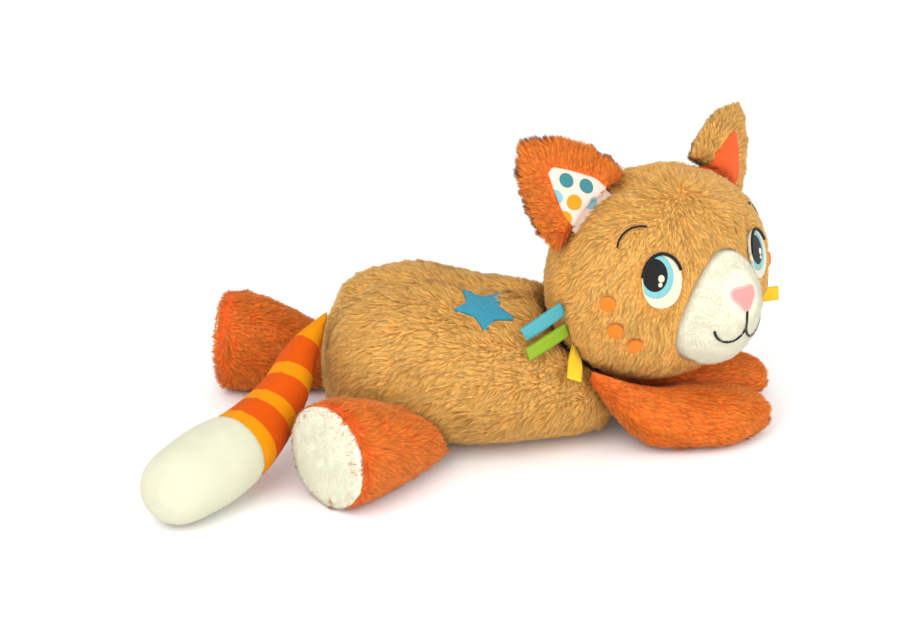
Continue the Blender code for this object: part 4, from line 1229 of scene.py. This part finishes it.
def make_leg(side, seed):
    """A hind leg: its inflated cone with orange pile, and the fleece sole sewn into its end."""
    body = f"{side}_hind_leg"
    skin = inflated(f"{body}_form", (f"{body}_skin", f"{body}_filling"), 3.6 * MM, 1.6 * MM, 3.5 * MM)
    finish_skin(skin, "orange_backing", body, "orange_plush", 0.75, f"{body}_filling")
    start, way, across = leg_axes(side)
    middle = start + way * LEG_LENGTH + np.array((0, 0, LEG_AXIS_HEIGHT))
    shares = np.r_[np.linspace(0, 0.86, 14), 0.92, 0.96, 0.985, 1.0]
    half = SOLE_HALF[side]
    outline = oval(half, half, 64, 2.1)
    flat = outline[None] * shares[:, None, None]
    bulge = SOLE_BULGE[side] * (1 - shares**3.2) ** 0.6 - 0.6 * MM
    dimple = -0.8 * MM * np.exp(-((np.hypot(flat[..., 0] + 4, flat[..., 1] - 6) / 9) ** 2))
    upright = np.array((0, 0, 1.0))
    upper = middle + (flat[..., :1] * across + flat[..., 1:] * upright) * MM
    under = upper - way * 3.0 * MM
    upper = upper + (bulge[:, None] + dimple)[..., None] * way
    upper[0] = upper[0].mean(0)
    rings = np.concatenate((upper, under[::-1]))
    rings[..., 2] = np.maximum(rings[..., 2], FLOOR_HEIGHT)
    sole = ring_piece(f"{side}_sole", rings, "sole_fleece", body, np.concatenate((flat, flat[::-1])))
    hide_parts(f"{side}_hind_sole")

    def keep(points):
        return ((points - middle) @ way < -1.5 * MM).astype(float)

    def nap(points):
        """Back along the leg and down, turning out over the sole's edge near it."""
        turn = np.clip(((points - middle) @ way + 14 * MM) / (12 * MM), 0, 1)[:, None]
        return way * (1.7 * turn - 1) + np.array((0, 0, -0.5)) * (1 - turn)

    coat = pile(f"{body}_pile", skin, "leg", "orange_pile", body, nap, keep, seed)
    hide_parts(f"{body}_skin")

    def sole_front(points):
        return ((points - middle) @ way > -0.2 * MM).astype(float)

    def sole_nap(points):
        return np.tile((0.0, 0.0, -1.0), (len(points), 1)) + across * 0.6

    name = f"{side}_sole_pile"
    pile(name, sole, "sole", "sole_pile", body, sole_nap, sole_front, seed + 20)


def make_paw(side, seed):
    """A flat front paw with orange pile that runs to its toes, and the seam between top and bottom."""
    body = f"{side}_front_paw"
    nodes = (f"{body}_top", f"{body}_bottom", f"{body}_filling")
    skin = inflated(f"{body}_form", nodes, 3.6 * MM, 1.6 * MM, 2.5 * MM)
    places = coordinates(skin.data)
    sewn_in(skin, np.where(places[:, 0] > BASE[0] + 100 * MM, places[:, 2] - 15 * MM, 1.0), 1.2 * MM, 3 * MM)
    finish_skin(skin, "orange_backing", body, "orange_plush", 0.6, f"{body}_bottom", f"{body}_filling")

    def nap(points):
        return np.tile((1.0, -0.25, -0.25), (len(points), 1))

    def under_head(points):
        """Pile is pressed flat where the head rests on the paw."""
        local = (points - HEAD_CENTRE) @ HEAD_AXES
        away = np.sqrt(((local / (HEAD_SEMI + 4 * MM)) ** 2).sum(1)) - 1
        return np.clip(away * 12, 0.25, 1)

    name = f"{body}_pile"
    coat = pile(name, skin, "paw", "orange_pile", body, nap, everywhere, seed, under_head)
    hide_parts(f"{body}_top")


# studio


def make_studio():
    """A pale floor, soft light from above on both sides and from the front, and the camera."""
    floor_finish, tree, shader = plain_finish("floor_paper", (0.93, 0.93, 0.93), 0.9)
    tree.links.new(ramp(tree, noise(tree, 3), ((0.3, (0.92, 0.92, 0.92)), (0.7, (0.94, 0.94, 0.94)))),
                   shader.inputs["Base Color"])
    mesh = bpy.data.meshes.new("floor")
    corners = [(FLOOR_HALF * x, FLOOR_HALF * y, 0) for x, y in ((-1, -1), (1, -1), (1, 1), (-1, 1))]
    mesh.from_pydata(corners, [], [(0, 1, 2, 3)])
    mesh.materials.append(floor_finish)
    floor = bpy.data.objects.new("floor", mesh)
    bpy.context.scene.collection.objects.link(floor)
    world = bpy.data.worlds.new("studio")
    bpy.context.scene.world = world
    world.use_nodes = True
    sky = world.node_tree.nodes["Background"]
    sky.inputs["Color"].default_value = (1, 1, 1, 1)
    sky.inputs["Strength"].default_value = WORLD_STRENGTH
    for name, place, power, size in LAMPS:
        light = bpy.data.lights.new(name, "AREA")
        light.energy = power
        light.size = size
        lamp = bpy.data.objects.new(name, light)
        bpy.context.scene.collection.objects.link(lamp)
        lamp.location = place
        lamp.rotation_euler = (Vector(LAMP_TARGET) - Vector(place)).to_track_quat("-Z", "Y").to_euler()
    camera = bpy.data.cameras.new("camera")
    camera.lens = CAMERA_LENS
    camera.sensor_width = 36
    eye = bpy.data.objects.new("camera", camera)
    bpy.context.scene.collection.objects.link(eye)
    flat = math.cos(CAMERA_RISE)
    back = Vector((math.sin(CAMERA_TURN) * flat, -math.cos(CAMERA_TURN) * flat, math.sin(CAMERA_RISE)))
    eye.location = Vector(CAMERA_TARGET) + back * CAMERA_DISTANCE
    eye.rotation_euler = (-back).to_track_quat("-Z", "Y").to_euler()
    bpy.context.scene.camera = eye
    bpy.context.scene.view_settings.view_transform = "Standard"


make_torso()
make_head()
make_muzzle()
make_face()
make_ribbons()
make_ear("right", "orange", "dotted_cotton", 71)
make_ear("left", "tan", "orange_felt", 83)
make_tail()
make_leg("right", 101)
make_leg("left", 113)
make_paw("right", 127)
make_paw("left", 139)
make_studio()
